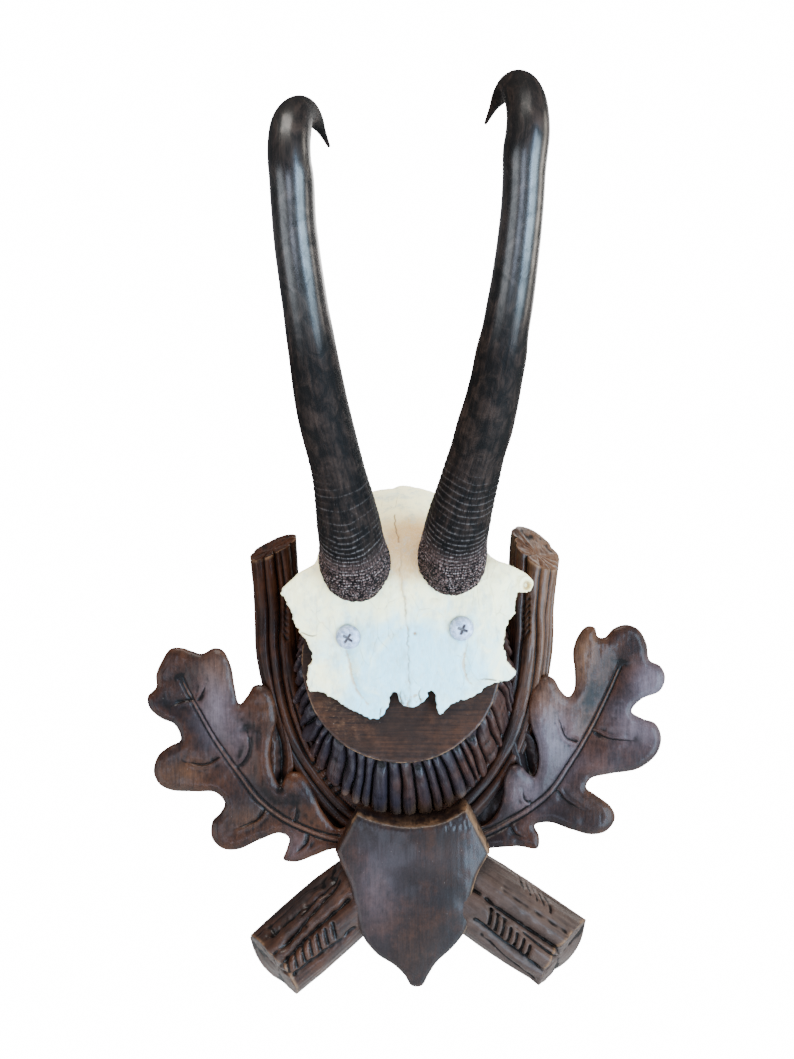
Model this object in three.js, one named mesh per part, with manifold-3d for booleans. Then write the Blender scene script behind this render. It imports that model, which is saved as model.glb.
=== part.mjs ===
// Chamois horns on their skull plate, screwed to a wall plaque carved with oak leaves, two crossed
// branches, a round boss and a small shield.
//
// Everything is drawn as it hangs on the wall and is seen from the room: x to the right, y up and
// z off the wall, in millimetres. The exported group turns that upright, so that +Z is up and the
// plaque faces -Y. The origin is on the plaque's flat back, behind the middle of the boss.
import * as THREE from "three";
import { mergeVertices } from "three/addons/utils/BufferGeometryUtils.js";
import Module from "manifold-3d";

const wasm = await Module();
wasm.setup();

const GAP = 0.3; // clearance between pieces that touch
const FLATTEN = 0.2; // faces closer to flat than this are merged
const SPAN = { from: -20, to: 60 }; // reaches past the plaque and the bone, behind and in front

// Driving dimensions of the plaque
const BOSS = { x: -2.5, y: 0, radius: 42, standsOff: 30, tiltDeg: 10, ridges: 46 };
const BOSS_FOOT = { x: -1, y: -14, halfWidth: 48, halfHeight: 61, standsOff: 12, bottomRise: 5 };
// The boss's bark from its foot up to the rim: share of the way out, share of the way down, groove depth
const BOSS_BARK = [[1, 1, 1.3], [0.62, 0.72, 1.8], [0.25, 0.35, 1.6], [0, 0, 0.3]];
const LEAF = { standsOff: 15.5, swell: 3.5, swellWidth: 8, ribRadius: 1.5, veinRadius: 0.9, gridStep: 7 };
const LEAF_BACK = { reliefFrom: 60, reliefSlope: 0.6, reliefMost: 10.5 }; // the back is cut away outwards
const SHIELD = { standsOff: 24, dome: 5, halfWidth: 34, halfHeight: 60, middle: [3, -96], gridStep: 6 };
const BRANCH = { sides: 20, grooveShare: 0.14, spacing: 13 };
const BOARD_THICKNESS = 11;
const HANGING_HOLE = { y: 26, radius: 4, depth: 14, leanDeg: 30 };

// Driving dimensions of the skull plate, the horns and the screws
const BONE = { thickness: 3.6, sideFall: 5, halfWidth: 46, middleX: -1.5, offWall: 2, gridStep: 5 };
const BONE_CLEARS_BOSS = 16; // how far round the boss's face the bone is kept off it
const BRAINCASE = { fromY: 40, toY: 62, sideFall: 14, halfWidth: 32, gridStep: 7, roofExtra: 1 };
const PEDICLE = { rise: 2.5, radius: 15 };
const HORN = { sides: 14, shaftSteps: 26, rings: 9, ringDepth: 0.45 };
const HOOK = { radius: 18, fromDeg: 24, toDeg: -110, straightEnd: 6.5, steps: 8 };
const HOOK_RADII = [6.5, 6.3, 5.9, 5.1, 3.9, 2.4, 0.5]; // the horn's thickness along the hook
const SCREW = { headRadius: 5.1, headHeight: 2.3, shankRadius: 1.9, length: 32, pointLength: 6 };
const CROSS_SLOT = { width: 1.1, length: 4.6, depth: 1 };

// Outlines, as points [x, y] that a smooth closed curve runs through
const LEFT_LEAF = [
  [-22, -74], [-30, -77], [-37, -69], [-42, -58], [-46, -52.5], [-50, -51.5], [-53, -53], [-55.5, -58],
  [-58.5, -52], [-60, -44], [-59, -36], [-57, -28], [-58, -20], [-62, -13.5], [-67, -13.5], [-70, -18],
  [-73.5, -21.5], [-75.5, -14], [-77, -5], [-80.5, 2], [-84.5, 3], [-90, 0.5], [-94.5, 1.5], [-99, 3],
  [-104, 2.5], [-108, -3], [-110.5, -9], [-110.5, -14.5], [-114, -18.5], [-113, -23.5], [-108, -28],
  [-102, -31], [-99.5, -37.5], [-104, -40], [-109, -44], [-111, -51], [-108.5, -56.5], [-103, -59.3],
  [-92, -60], [-84, -60.5], [-80, -65], [-82, -69.5], [-85.3, -73], [-85.5, -80.5], [-81, -84.8],
  [-74, -85.3], [-65, -81.5], [-56, -78.7], [-52, -81], [-53, -86], [-54.3, -90], [-49, -91.3],
  [-41, -88.7], [-33, -86], [-22, -86],
];
const RIGHT_LEAF = [
  [26, -78], [35, -75.5], [40, -70], [42.5, -62], [43, -54], [46, -48.5], [50, -48.5], [53, -52],
  [56, -54], [58, -49], [57.5, -40], [54.5, -31], [53.5, -22], [56, -14], [60.5, -9], [64.5, -10.5],
  [67.5, -15.5], [71, -18.5], [73.5, -15.5], [73.8, -7], [73, 1], [75, 8], [79, 12.5], [82.5, 12],
  [84, 8], [87, 7.5], [91, 11.5], [96.5, 13.2], [102, 11], [105.5, 5], [107, -2.5], [111.5, -5],
  [113.5, -10], [111, -16], [103, -19.7], [99, -25], [103.5, -28], [109, -30], [111.7, -36],
  [109.5, -43.5], [102, -49.8], [90, -52.5], [81, -54.7], [79, -58.5], [83, -61.5], [89.5, -66.5],
  [91.3, -71.5], [87.5, -77], [80.5, -78.5], [72, -76.5], [63, -74], [56.5, -75.5], [58.3, -80],
  [57.5, -85], [48, -84.5], [38, -85.5], [26, -88],
];
const SHIELD_OUTLINE = [
  [-21.5, -67], [-14, -69.5], [-5, -71], [6, -71.2], [16, -69.5], [25.5, -65], [29.2, -72.1],
  [35.6, -84.4], [30.7, -92.2], [27.3, -102.5], [26.1, -114.7], [19.5, -124], [12.6, -130.3],
  [9.2, -135.7], [6.3, -140.6], [1.9, -140.6], [-1.1, -135.7], [-5.5, -131.3], [-12.8, -126.9],
  [-19.2, -119.1], [-22.1, -108.3], [-24.5, -97.6], [-28, -90.2], [-30.9, -83.9], [-25.5, -74.1],
];
const SHIELD_CORNERS = [0, 5, 7, 23]; // points of the shield's outline where it turns sharply
const BOARD_OUTLINE = [
  [-56, 30], [-30, 36], [0, 40], [28, 37], [54, 30], [60, -10], [62, -46], [50, -72], [28, -92],
  [-24, -92], [-46, -74], [-62, -50], [-62, -12],
];

// Midribs and side veins, as points [x, y] along each line
const LEFT_VEINS = {
  rib: [[-24, -83], [-43, -77.5], [-62, -66.5], [-75, -51], [-85, -36.5], [-95, -19.5], [-99, -11]],
  side: [
    [[-94, -20], [-98, -20.5], [-103, -22.5]],
    [[-92.5, -20.5], [-90, -17], [-88.5, -13]],
    [[-82, -45], [-88, -48], [-97, -46.5]],
    [[-75, -50], [-70.5, -45], [-69, -38], [-70, -33]],
    [[-62, -67.5], [-65, -72], [-75, -76]],
    [[-49.5, -73.5], [-48.5, -70], [-48.5, -66]],
    [[-43, -79], [-44, -83], [-50, -88]],
  ],
};
const RIGHT_VEINS = {
  rib: [[27, -82.5], [41, -76], [52, -69.5], [63, -60.5], [73, -46.5], [81, -33], [88, -18.5], [94, -5]],
  side: [
    [[76, -39], [70, -36.5], [67.5, -31], [66, -26.5]],
    [[82, -33.5], [88, -36.5], [99, -37.5]],
    [[55, -65.5], [52, -64], [51, -59]],
    [[66, -59], [70, -64], [77, -67.5]],
    [[45.5, -75.5], [48, -79], [51.5, -80]],
  ],
};

// Branches from their upper end to their lower end, as [x, y, radius, height of the middle off the wall]
const LEFT_BRANCH = [
  [-60.5, 62, 11.3, 11.5], [-59.5, 47, 11.3, 11.5], [-57.7, 22, 10.6, 11.5], [-57, 0, 10.6, 10.5],
  [-53, -25, 9.5, 7.5], [-44, -48, 9, 6.5], [-30, -66, 9.5, 6], [0, -87, 12, 6],
  [31, -107.5, 16.8, 11.5], [67, -131.5, 17, 11.5], [88, -145.5, 17, 11.5],
];
const RIGHT_BRANCH = [
  [60.5, 66, 12, 11.5], [58, 50, 12, 11.5], [55.5, 22, 10.5, 11.5], [55, 0, 10.3, 10.5],
  [51, -25, 9.5, 7.5], [43, -47, 9, 6.5], [29, -66, 9.5, 6], [0, -88, 12, 6],
  [-30, -113, 16.3, 11.5], [-59, -138.7, 16.5, 11.5], [-77, -154.5, 16.5, 11.5],
];
// Where each branch is sawn off: a point of the cut and the way it faces [x, y, z]
const LEFT_CUTS = [
  { at: [-60, 47, 11.5], faces: [-0.35, 0.88, 0.3] },
  { at: [68.3, -134.8, 12], faces: [0.72, -0.48, 0.5] },
];
const RIGHT_CUTS = [
  { at: [58, 46.5, 11.5], faces: [0.4, 0.75, 0.52] },
  { at: [-58.3, -139.6, 12], faces: [-0.69, -0.53, 0.5] },
];
// Rows of gouge cuts across the bark: where a row starts and ends, and how many cuts it has
const GOUGE_ROWS = [
  { from: [-54.5, 26], to: [-54, 2], cuts: 6 }, { from: [52.5, 27], to: [52, 6], cuts: 6 },
  { from: [-40, -44], to: [-28, -60], cuts: 6 }, { from: [-28, -112], to: [-50, -134], cuts: 8 },
  { from: [-35, -102], to: [-46, -112], cuts: 4 }, { from: [34, -113], to: [53, -127], cuts: 7 },
  { from: [48, -103.5], to: [62, -113.5], cuts: 4 },
];
const GOUGE = { radius: 1.4, length: 6.5, standsOut: 0.2 };

// The bone's edge, sawn and broken, from the left brow round the nose end to the right brow, then
// over the braincase
const BONE_OUTLINE = [
  [-51.5, 31], [-51.8, 28], [-49.6, 25.5], [-48, 20], [-44, 12.5], [-40, 6.5], [-38.3, 4], [-40.3, -1],
  [-41.2, -9], [-40, -12.5], [-35.5, -12], [-27, -17], [-18, -22.3], [-11.6, -23.6], [-9, -20.5],
  [-6.3, -11.8], [-4.5, -11.8], [-2.8, -16.3], [2, -17.7], [6.2, -15.8], [9, -11.5], [10.8, -11.8],
  [12.2, -19], [13.6, -22], [16.5, -18.7], [20, -16], [27, -14], [34, -9], [43, -6.6], [44.8, -4],
  [41.8, 1], [39, 9], [40.8, 14], [43.6, 20], [45.3, 28.7], [50.5, 29.6], [52.2, 33], [50, 36],
  [42, 40.5], [35, 43.5], [32, 48], [29.5, 58], [22, 67.5], [12, 72], [0, 74.3], [-12, 73.3], [-23, 69.5],
  [-32, 60], [-36.5, 49], [-38, 41.5], [-44, 37.5],
];
const BONE_CORNERS = [0, 9, 14, 22, 29]; // points of that edge where it turns sharply
// The thick part that reaches back to the boss, and the braincase's hollow in it
const BONE_CORE = [
  [-29, -6], [-31, 12], [-34, 30], [-35.5, 47], [-31, 59.5], [-22, 69], [-12, 72.8], [0, 73.8], [12, 71.5],
  [21.5, 67], [29, 57.5], [31, 47], [32, 30], [31, 12], [30, -2], [14, -9], [0, -8], [-14, -11],
];
const BRAIN_HOLLOW = [
  [-27, 24], [-30, 40], [-29, 52], [-22, 62], [-11, 67.5], [0, 68.5], [11, 66.5], [20, 61], [25.5, 51],
  [26.5, 40], [24, 26], [-1, 21],
];
const BROW_HEIGHTS = [ // [y, z]: the bone's middle line seen from the side
  [-30, 38], [-20, 39.5], [-5, 42], [10, 44], [25, 45.2], [35, 44.6], [45, 41], [54, 35], [62, 27],
  [69, 17], [74, 5], [80, -8],
];

// Horns: points [x, y, z, radius] up the shaft, then a round hook in a plane that turns inwards
const LEFT_HORN = {
  shaft: [
    [-20.5, 31, 31, 13], [-21, 39.5, 42, 13.3], [-22.3, 55, 62, 12.2], [-25.7, 76.5, 77.5, 9.9],
    [-30, 96.5, 90.5, 9.1], [-32.4, 114.6, 102, 7.9], [-34.2, 131, 112.8, 7.1], [-35.6, 147, 122, 6.7],
  ],
  hook: { x: -36.2, y: 167.4, z: 113, turnIn: 18 },
};
const RIGHT_HORN = {
  shaft: [
    [17.5, 34, 30.5, 13], [17.8, 42, 41.5, 13.3], [18.8, 56.5, 61, 12.2], [23.4, 78, 77, 10.2],
    [28.3, 98.5, 90, 9.3], [31, 117.5, 102, 8.2], [33, 135.5, 113, 7.2], [34, 153, 122.5, 6.8],
  ],
  hook: { x: 34.4, y: 175, z: 113, turnIn: -18 },
};

const SCREW_PLACES = { left: [-24, 11.5], right: [21.8, 15] };

const rad = THREE.MathUtils.degToRad;

// Solids and meshes
function solidOf(geometry) {
  const plain = geometry.index ? geometry.toNonIndexed() : geometry.clone();
  plain.deleteAttribute("normal");
  plain.deleteAttribute("uv");
  const merged = mergeVertices(plain, 1e-4);
  return new wasm.Manifold(new wasm.Mesh({
    numProp: 3,
    vertProperties: new Float32Array(merged.attributes.position.array),
    triVerts: new Uint32Array(merged.index.array),
  }));
}

function geometryOf(solid) {
  const mesh = solid.simplify(FLATTEN).getMesh();
  const geometry = new THREE.BufferGeometry();
  geometry.setAttribute("position", new THREE.BufferAttribute(mesh.vertProperties.slice(), 3));
  geometry.setIndex(new THREE.BufferAttribute(mesh.triVerts.slice(), 1));
  geometry.computeVertexNormals();
  return geometry;
}

function joined(solids) {
  return solids.reduce((whole, piece) => whole.add(piece));
}

// Curves and outlines
function smoothLine(points, count) {
  const curve = new THREE.CatmullRomCurve3(points.map(([x, y, z = 0]) => new THREE.Vector3(x, y, z)));
  return curve.getSpacedPoints(count).map((p) => [p.x, p.y, p.z]);
}

function smoothOutline(points, perPoint) {
  const corners = points.map(([x, y]) => new THREE.Vector3(x, y, 0));
  const curve = new THREE.CatmullRomCurve3(corners, true, "centripetal");
  return curve.getPoints(points.length * perPoint).slice(0, -1).map((p) => [p.x, p.y]);
}

// A closed outline whose corners stay sharp: each stretch between two corners is its own curve.
function corneredOutline(points, corners, perPoint) {
  return corners.flatMap((first, k) => {
    const last = corners[(k + 1) % corners.length];
    const stretch = [];
    for (let i = first; ; i = (i + 1) % points.length) {
      stretch.push(points[i]);
      if (i === last && stretch.length > 1) break;
    }
    if (stretch.length === 2) return [stretch[0]];
    return smoothLine(stretch, (stretch.length - 1) * perPoint).slice(0, -1).map(([x, y]) => [x, y]);
  });
}

function prism(outline, from, to) {
  const shape = new THREE.Shape(outline.map(([x, y]) => new THREE.Vector2(x, y)));
  const geometry = new THREE.ExtrudeGeometry(shape, { depth: to - from, bevelEnabled: false });
  return solidOf(geometry.translate(0, 0, from));
}

// The prism over an outline that takes in everything in front of it and behind it.
function throughout(outline) {
  return prism(outline, SPAN.from, SPAN.to);
}

function boundsOf(outline) {
  const box = new THREE.Box2().setFromPoints(outline.map(([x, y]) => new THREE.Vector2(x, y)));
  return box.expandByScalar(1);
}

// A block over an outline's bounds whose front follows front(x, y) and whose back follows back(x, y).
function slab(outline, step, front, back) {
  const box = boundsOf(outline);
  const across = Math.ceil((box.max.x - box.min.x) / step);
  const up = Math.ceil((box.max.y - box.min.y) / step);
  const positions = [];
  for (const surface of [front, back]) {
    for (let j = 0; j <= up; j++) {
      for (let i = 0; i <= across; i++) {
        const x = THREE.MathUtils.lerp(box.min.x, box.max.x, i / across);
        const y = THREE.MathUtils.lerp(box.min.y, box.max.y, j / up);
        positions.push(x, y, surface(x, y));
      }
    }
  }
  const row = across + 1;
  const layer = row * (up + 1);
  const faces = [];
  const quad = (a, b, c, d) => faces.push(a, b, c, a, c, d);
  for (let j = 0; j < up; j++) {
    for (let i = 0; i < across; i++) {
      const a = j * row + i;
      quad(a, a + 1, a + row + 1, a + row);
      quad(layer + a, layer + a + row, layer + a + row + 1, layer + a + 1);
    }
  }
  for (let i = 0; i < across; i++) {
    const top = up * row + i;
    quad(i, layer + i, layer + i + 1, i + 1);
    quad(top, top + 1, layer + top + 1, layer + top);
  }
  for (let j = 0; j < up; j++) {
    const left = j * row;
    const right = left + across;
    quad(left, left + row, layer + left + row, layer + left);
    quad(right, layer + right, layer + right + row, right + row);
  }
  const geometry = new THREE.BufferGeometry();
  geometry.setAttribute("position", new THREE.BufferAttribute(new Float32Array(positions), 3));
  geometry.setIndex(faces);
  return solidOf(geometry);
}

// A closed skin over rings of points, all with the same count, with a flat fan at each end.
function skinOver(rings) {
  const count = rings[0].length;
  const middle = (ring) => ring.reduce((sum, p) => sum.add(p), new THREE.Vector3()).divideScalar(count);
  const points = [...rings.flat(), middle(rings[0]), middle(rings.at(-1))];
  const faces = [];
  for (let r = 0; r + 1 < rings.length; r++) {
    for (let i = 0; i < count; i++) {
      const next = (i + 1) % count;
      const [a, b, c, d] = [r * count + i, r * count + next, (r + 1) * count + next, (r + 1) * count + i];
      faces.push(a, b, c, a, c, d);
    }
  }
  const start = rings.length * count;
  const lastRing = start - count;
  for (let i = 0; i < count; i++) {
    const next = (i + 1) % count;
    faces.push(start, next, i, start + 1, lastRing + i, lastRing + next);
  }
  const geometry = new THREE.BufferGeometry().setFromPoints(points);
  geometry.setIndex(faces);
  return solidOf(geometry);
}

// Rings round a line of points [x, y, z]; radiusAt(ring, side) gives the section.
function tubeRings(line, sides, radiusAt) {
  const points = line.map((p) => new THREE.Vector3(...p));
  let side = null;
  return points.map((point, k) => {
    const before = points[Math.max(k - 1, 0)];
    const after = points[Math.min(k + 1, points.length - 1)];
    const along = after.clone().sub(before).normalize();
    const start = side ?? (Math.abs(along.x) < 0.9 ? new THREE.Vector3(1, 0, 0) : new THREE.Vector3(0, 1, 0));
    side = start.clone().addScaledVector(along, -start.dot(along)).normalize();
    const over = along.clone().cross(side);
    return Array.from({ length: sides }, (_, i) => {
      const angle = (i / sides) * 2 * Math.PI;
      const r = radiusAt(k, i);
      const sideways = point.clone().addScaledVector(side, r * Math.cos(angle));
      return sideways.addScaledVector(over, r * Math.sin(angle));
    });
  });
}

function rod(line, radius, sides) {
  return skinOver(tubeRings(line, sides, () => radius));
}

// The plaque
const bossSlope = Math.tan(rad(BOSS.tiltDeg));
const bossFace = (x, y) => BOSS.standsOff - bossSlope * (y - BOSS.y);

function boss() {
  const sides = BOSS.ridges * 2;
  const ring = (out, drop, groove) => Array.from({ length: sides }, (_, i) => {
    const angle = (i / sides) * 2 * Math.PI;
    const away = new THREE.Vector2(Math.cos(angle), Math.sin(angle));
    const top = new THREE.Vector2(BOSS.x, BOSS.y).addScaledVector(away, BOSS.radius);
    const reach = new THREE.Vector2(BOSS_FOOT.halfWidth, BOSS_FOOT.halfHeight).multiply(away);
    const foot = new THREE.Vector2(BOSS_FOOT.x, BOSS_FOOT.y).add(reach);
    const at = top.clone().lerp(foot, out).addScaledVector(away, i % 2 ? -groove : 0);
    const footOff = BOSS_FOOT.standsOff + BOSS_FOOT.bottomRise * Math.max(0, -away.y) ** 2;
    const height = THREE.MathUtils.lerp(bossFace(top.x, top.y), footOff, drop);
    return new THREE.Vector3(at.x, at.y, height);
  });
  const floor = ring(1, 1, 0).map((p) => p.setZ(0));
  return skinOver([floor, ...BOSS_BARK.map((row) => ring(...row))]);
}

// How far a point is from a line of points.
function distanceTo(line, x, y) {
  const point = new THREE.Vector3(x, y, 0);
  const closest = new THREE.Vector3();
  return Math.min(...line.slice(1).map((end, i) => {
    const [from, to] = [line[i], end].map(([px, py]) => new THREE.Vector3(px, py, 0));
    return new THREE.Line3(from, to).closestPointToPoint(point, true, closest).distanceTo(point);
  }));
}

function leaf(points, veins) {
  const outline = smoothOutline(points, 2);
  const rib = smoothLine(veins.rib, 9);
  const front = (x, y) => {
    const sunken = Math.exp(-distanceTo(rib, x, y) / LEAF.swellWidth);
    return LEAF.standsOff + LEAF.swell * (1 - sunken);
  };
  const back = (x) => {
    const cutAway = (Math.abs(x) - LEAF_BACK.reliefFrom) * LEAF_BACK.reliefSlope;
    return THREE.MathUtils.clamp(cutAway, 0, LEAF_BACK.reliefMost);
  };
  const onFront = ([x, y]) => [x, y, front(x, y)];
  const blade = slab(outline, LEAF.gridStep, front, back).intersect(throughout(outline));
  const ribbed = blade.add(rod(rib.map(onFront), LEAF.ribRadius, 6));
  return veins.side.reduce((wood, vein) => {
    const groove = rod(smoothLine(vein, 4).map(onFront), LEAF.veinRadius, 4);
    return wood.subtract(groove);
  }, ribbed);
}

function shield() {
  const outline = corneredOutline(SHIELD_OUTLINE, SHIELD_CORNERS, 2);
  const [middleX, middleY] = SHIELD.middle;
  const front = (x, y) => {
    const out = Math.min(1, Math.hypot((x - middleX) / SHIELD.halfWidth, (y - middleY) / SHIELD.halfHeight));
    return SHIELD.standsOff + SHIELD.dome * (1 - out * out);
  };
  return slab(outline, SHIELD.gridStep, front, () => 0).intersect(throughout(outline));
}

function branch(points, cuts) {
  const length = points.slice(1).reduce((sum, [x, y], i) => {
    const [lastX, lastY] = points[i];
    return sum + Math.hypot(x - lastX, y - lastY);
  }, 0);
  const steps = Math.round(length / BRANCH.spacing);
  const line = smoothLine(points.map(([x, y, , off]) => [x, y, off]), steps);
  const radii = smoothLine(points.map(([x, y, r]) => [x, y, r]), steps).map((p) => p[2]);
  const rings = tubeRings(line, BRANCH.sides, (k, i) => radii[k] * (i % 2 ? 1 - BRANCH.grooveShare : 1));
  return cuts.reduce((log, { at, faces }) => {
    const outward = new THREE.Vector3(...faces).normalize();
    return log.trimByPlane(outward.clone().negate().toArray(), -outward.dot(new THREE.Vector3(...at)));
  }, skinOver(rings));
}

// Short gouge cuts across a row, each a small groove in whatever surface is there.
function gougeCuts(wood) {
  const surfaceAt = (x, y) => {
    const needle = rod([[x, y, 0.5], [x, y, SPAN.to]], 0.2, 3);
    return wood.intersect(needle).boundingBox().max[2];
  };
  return GOUGE_ROWS.flatMap(({ from, to, cuts }) => {
    const along = new THREE.Vector2(to[0] - from[0], to[1] - from[1]).normalize();
    const across = new THREE.Vector2(-along.y, along.x).multiplyScalar(GOUGE.length / 2);
    return Array.from({ length: cuts }, (_, k) => {
      const share = k / (cuts - 1);
      const x = THREE.MathUtils.lerp(from[0], to[0], share);
      const y = THREE.MathUtils.lerp(from[1], to[1], share);
      const z = surfaceAt(x, y) + GOUGE.standsOut;
      return rod([[x - across.x, y - across.y, z], [x + across.x, y + across.y, z]], GOUGE.radius, 4);
    });
  });
}

// A blind hole in the back that slants upwards, so that a nail holds the plaque against the wall.
function hangingHole() {
  const { y, radius, depth, leanDeg } = HANGING_HOLE;
  const up = Math.sin(rad(leanDeg)) * depth;
  const inwards = Math.cos(rad(leanDeg)) * depth;
  return rod([[0, y - up, -inwards], [0, y + up, inwards]], radius, 12);
}

function plaque() {
  const board = prism(smoothOutline(BOARD_OUTLINE, 2), 0, BOARD_THICKNESS);
  const carving = joined([
    board, boss(), branch(LEFT_BRANCH, LEFT_CUTS), branch(RIGHT_BRANCH, RIGHT_CUTS),
    leaf(LEFT_LEAF, LEFT_VEINS), leaf(RIGHT_LEAF, RIGHT_VEINS), shield(),
  ]);
  const flatBacked = carving.trimByPlane([0, 0, 1], 0);
  const cuts = [...gougeCuts(flatBacked), hangingHole()];
  return cuts.reduce((wood, cut) => wood.subtract(cut), flatBacked);
}

// The skull plate
const browLine = BROW_HEIGHTS.map(([y, z]) => new THREE.Vector2(y, z));
function browHeight(y) {
  const k = THREE.MathUtils.clamp(browLine.findIndex((p) => p.x > y), 1, browLine.length - 1);
  const [low, high] = [browLine[k - 1], browLine[k]];
  return THREE.MathUtils.mapLinear(y, low.x, high.x, low.y, high.y);
}

function boneFront(x, y) {
  const side = Math.abs(x - BONE.middleX);
  const onFace = BONE.sideFall * (side / BONE.halfWidth) ** 2.4;
  const caseShare = THREE.MathUtils.smoothstep(y, BRAINCASE.fromY, BRAINCASE.toY);
  const onCase = BRAINCASE.sideFall * (side / BRAINCASE.halfWidth) ** 2;
  const pedicles = [LEFT_HORN, RIGHT_HORN].reduce((sum, { shaft }) => {
    const [hornX, hornY] = shaft[1];
    const away = Math.hypot(x - hornX, y - hornY) / PEDICLE.radius;
    return sum + PEDICLE.rise * Math.exp(-(away ** 2));
  }, 0);
  return browHeight(y) - THREE.MathUtils.lerp(onFace, onCase, caseShare) + pedicles;
}

function boneOutline() {
  return corneredOutline(BONE_OUTLINE, BONE_CORNERS, 1);
}

function skull() {
  const outline = boneOutline();
  const core = smoothOutline(BONE_CORE, 2);
  const hollow = smoothOutline(BRAIN_HOLLOW, 2);
  const { gridStep } = BRAINCASE;
  const lowest = BONE.offWall + 1;
  const under = (x, y) => boneFront(x, y) - BONE.thickness;
  const coreFront = (x, y) => Math.max(boneFront(x, y) - 0.5, lowest);
  const roof = (x, y) => Math.max(under(x, y) - BRAINCASE.roofExtra, lowest);
  const onBoss = (x, y) => Math.max(bossFace(x, y) + GAP, BONE.offWall);
  const behind = () => SPAN.from + 1;
  const shelf = slab(outline, BONE.gridStep, boneFront, under).intersect(throughout(outline));
  const thick = slab(core, gridStep - 1, coreFront, () => BONE.offWall).intersect(throughout(core));
  const room = slab(hollow, gridStep, roof, behind).intersect(throughout(hollow));
  const bossArea = circleOutline(BOSS.x, BOSS.y, BOSS.radius + BONE_CLEARS_BOSS, 40);
  const bossRoom = slab(BONE_CORE, gridStep + 1, onBoss, behind).intersect(throughout(bossArea));
  return shelf.add(thick).subtract(room).subtract(bossRoom).trimByPlane([0, 0, 1], BONE.offWall);
}

function circleOutline(x, y, radius, count) {
  return Array.from({ length: count }, (_, i) => {
    const angle = (i / count) * 2 * Math.PI;
    return [x + radius * Math.cos(angle), y + radius * Math.sin(angle)];
  });
}

// The horns
// The hook runs back over the horn in a plane of its own; out is how far it has gone towards the wall.
function hookLine({ x, y, z, turnIn }) {
  const turn = rad(turnIn);
  const arc = Array.from({ length: HOOK.steps + 1 }, (_, i) => {
    const angle = rad(THREE.MathUtils.lerp(HOOK.fromDeg, HOOK.toDeg, i / HOOK.steps));
    return [HOOK.radius * (Math.cos(angle) - 1), -HOOK.radius * Math.sin(angle)];
  });
  const last = rad(HOOK.toDeg);
  const [out, up] = arc.at(-1);
  const end = [out + HOOK.straightEnd * Math.sin(last), up + HOOK.straightEnd * Math.cos(last)];
  return [...arc, end].map(([o, u]) => [x - Math.sin(turn) * o, y + u, z + HOOK.radius + Math.cos(turn) * o]);
}

function horn({ shaft, hook }) {
  const hookPoints = hookLine(hook);
  const [, hookY, hookZ] = hookPoints[0];
  const hookRadii = smoothLine(HOOK_RADII.map((r, i) => [i, 0, r]), hookPoints.length - 1).map((p) => p[2]);
  const shaftPoints = smoothLine([...shaft.map(([x, y, z]) => [x, y, z]), hookPoints[0]], HORN.shaftSteps);
  const sizes = [...shaft.map(([, y, z, r]) => [y, z, r]), [hookY, hookZ, HOOK_RADII[0]]];
  const shaftRadii = smoothLine(sizes, HORN.shaftSteps).map((p) => p[2]);
  const line = [...shaftPoints, ...hookPoints.slice(1)];
  const radii = [...shaftRadii, ...hookRadii.slice(1)];
  return skinOver(tubeRings(line, HORN.sides, (k) => {
    const betweenRings = k < 2 * HORN.rings && k % 2;
    return betweenRings ? radii[k] - HORN.ringDepth : radii[k];
  }));
}

// The screws, built pointing along +z with the underside of the head at z = 0
function screwPieces() {
  const { headRadius: r, headHeight: h, shankRadius, length, pointLength } = SCREW;
  const profile = [ // [radius, height] from the point up to the top of the head
    [0, -length], [0.6, -length], [shankRadius, pointLength - length], [shankRadius, 0], [r - 0.3, 0],
    [r, 0.35], [r, 0.9], [r - 0.9, 1.6], [r - 2.4, 2.1], [0, h],
  ].map(([x, y]) => new THREE.Vector2(x, y));
  const body = solidOf(new THREE.LatheGeometry(profile, 20).rotateX(Math.PI / 2));
  const arm = () => new THREE.BoxGeometry(CROSS_SLOT.length, CROSS_SLOT.width, 2 * CROSS_SLOT.depth);
  const cross = solidOf(arm()).add(solidOf(arm().rotateZ(Math.PI / 2))).translate([0, 0, h]);
  const hole = rod([[0, 0, -length - 1], [0, 0, 3]], shankRadius + GAP, 12);
  return { screw: body.subtract(cross), hole };
}

// Where a screw stands on the bone, and the way it leans to sit flat there.
function screwFrame([x, y]) {
  const step = 3;
  const rise = (dx, dy) => (boneFront(x + dx, y + dy) - boneFront(x - dx, y - dy)) / (2 * step);
  const outward = new THREE.Vector3(-rise(step, 0), -rise(0, step), 1).normalize();
  const frame = new THREE.Object3D();
  frame.position.set(x, y, boneFront(x, y)).addScaledVector(outward, GAP + 0.2);
  frame.quaternion.setFromUnitVectors(new THREE.Vector3(0, 0, 1), outward);
  frame.updateMatrix();
  return frame;
}

const { screw, hole } = screwPieces();
const screwFrames = { left: screwFrame(SCREW_PLACES.left), right: screwFrame(SCREW_PLACES.right) };
const screwHoles = Object.values(screwFrames).map((frame) => hole.transform(frame.matrix.elements));

const woodSolid = screwHoles.reduce((wood, bore) => wood.subtract(bore), plaque());
const boneSolid = screwHoles.reduce((bone, bore) => bone.subtract(bore), skull());

// A horn ends where it would meet the bone, with a little clearance.
function hornOnBone(spine) {
  const onBone = (x, y) => boneFront(x, y) + GAP;
  const behindBone = slab(boneOutline(), BONE.gridStep, onBone, () => SPAN.from);
  return horn(spine).subtract(behindBone);
}

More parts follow.
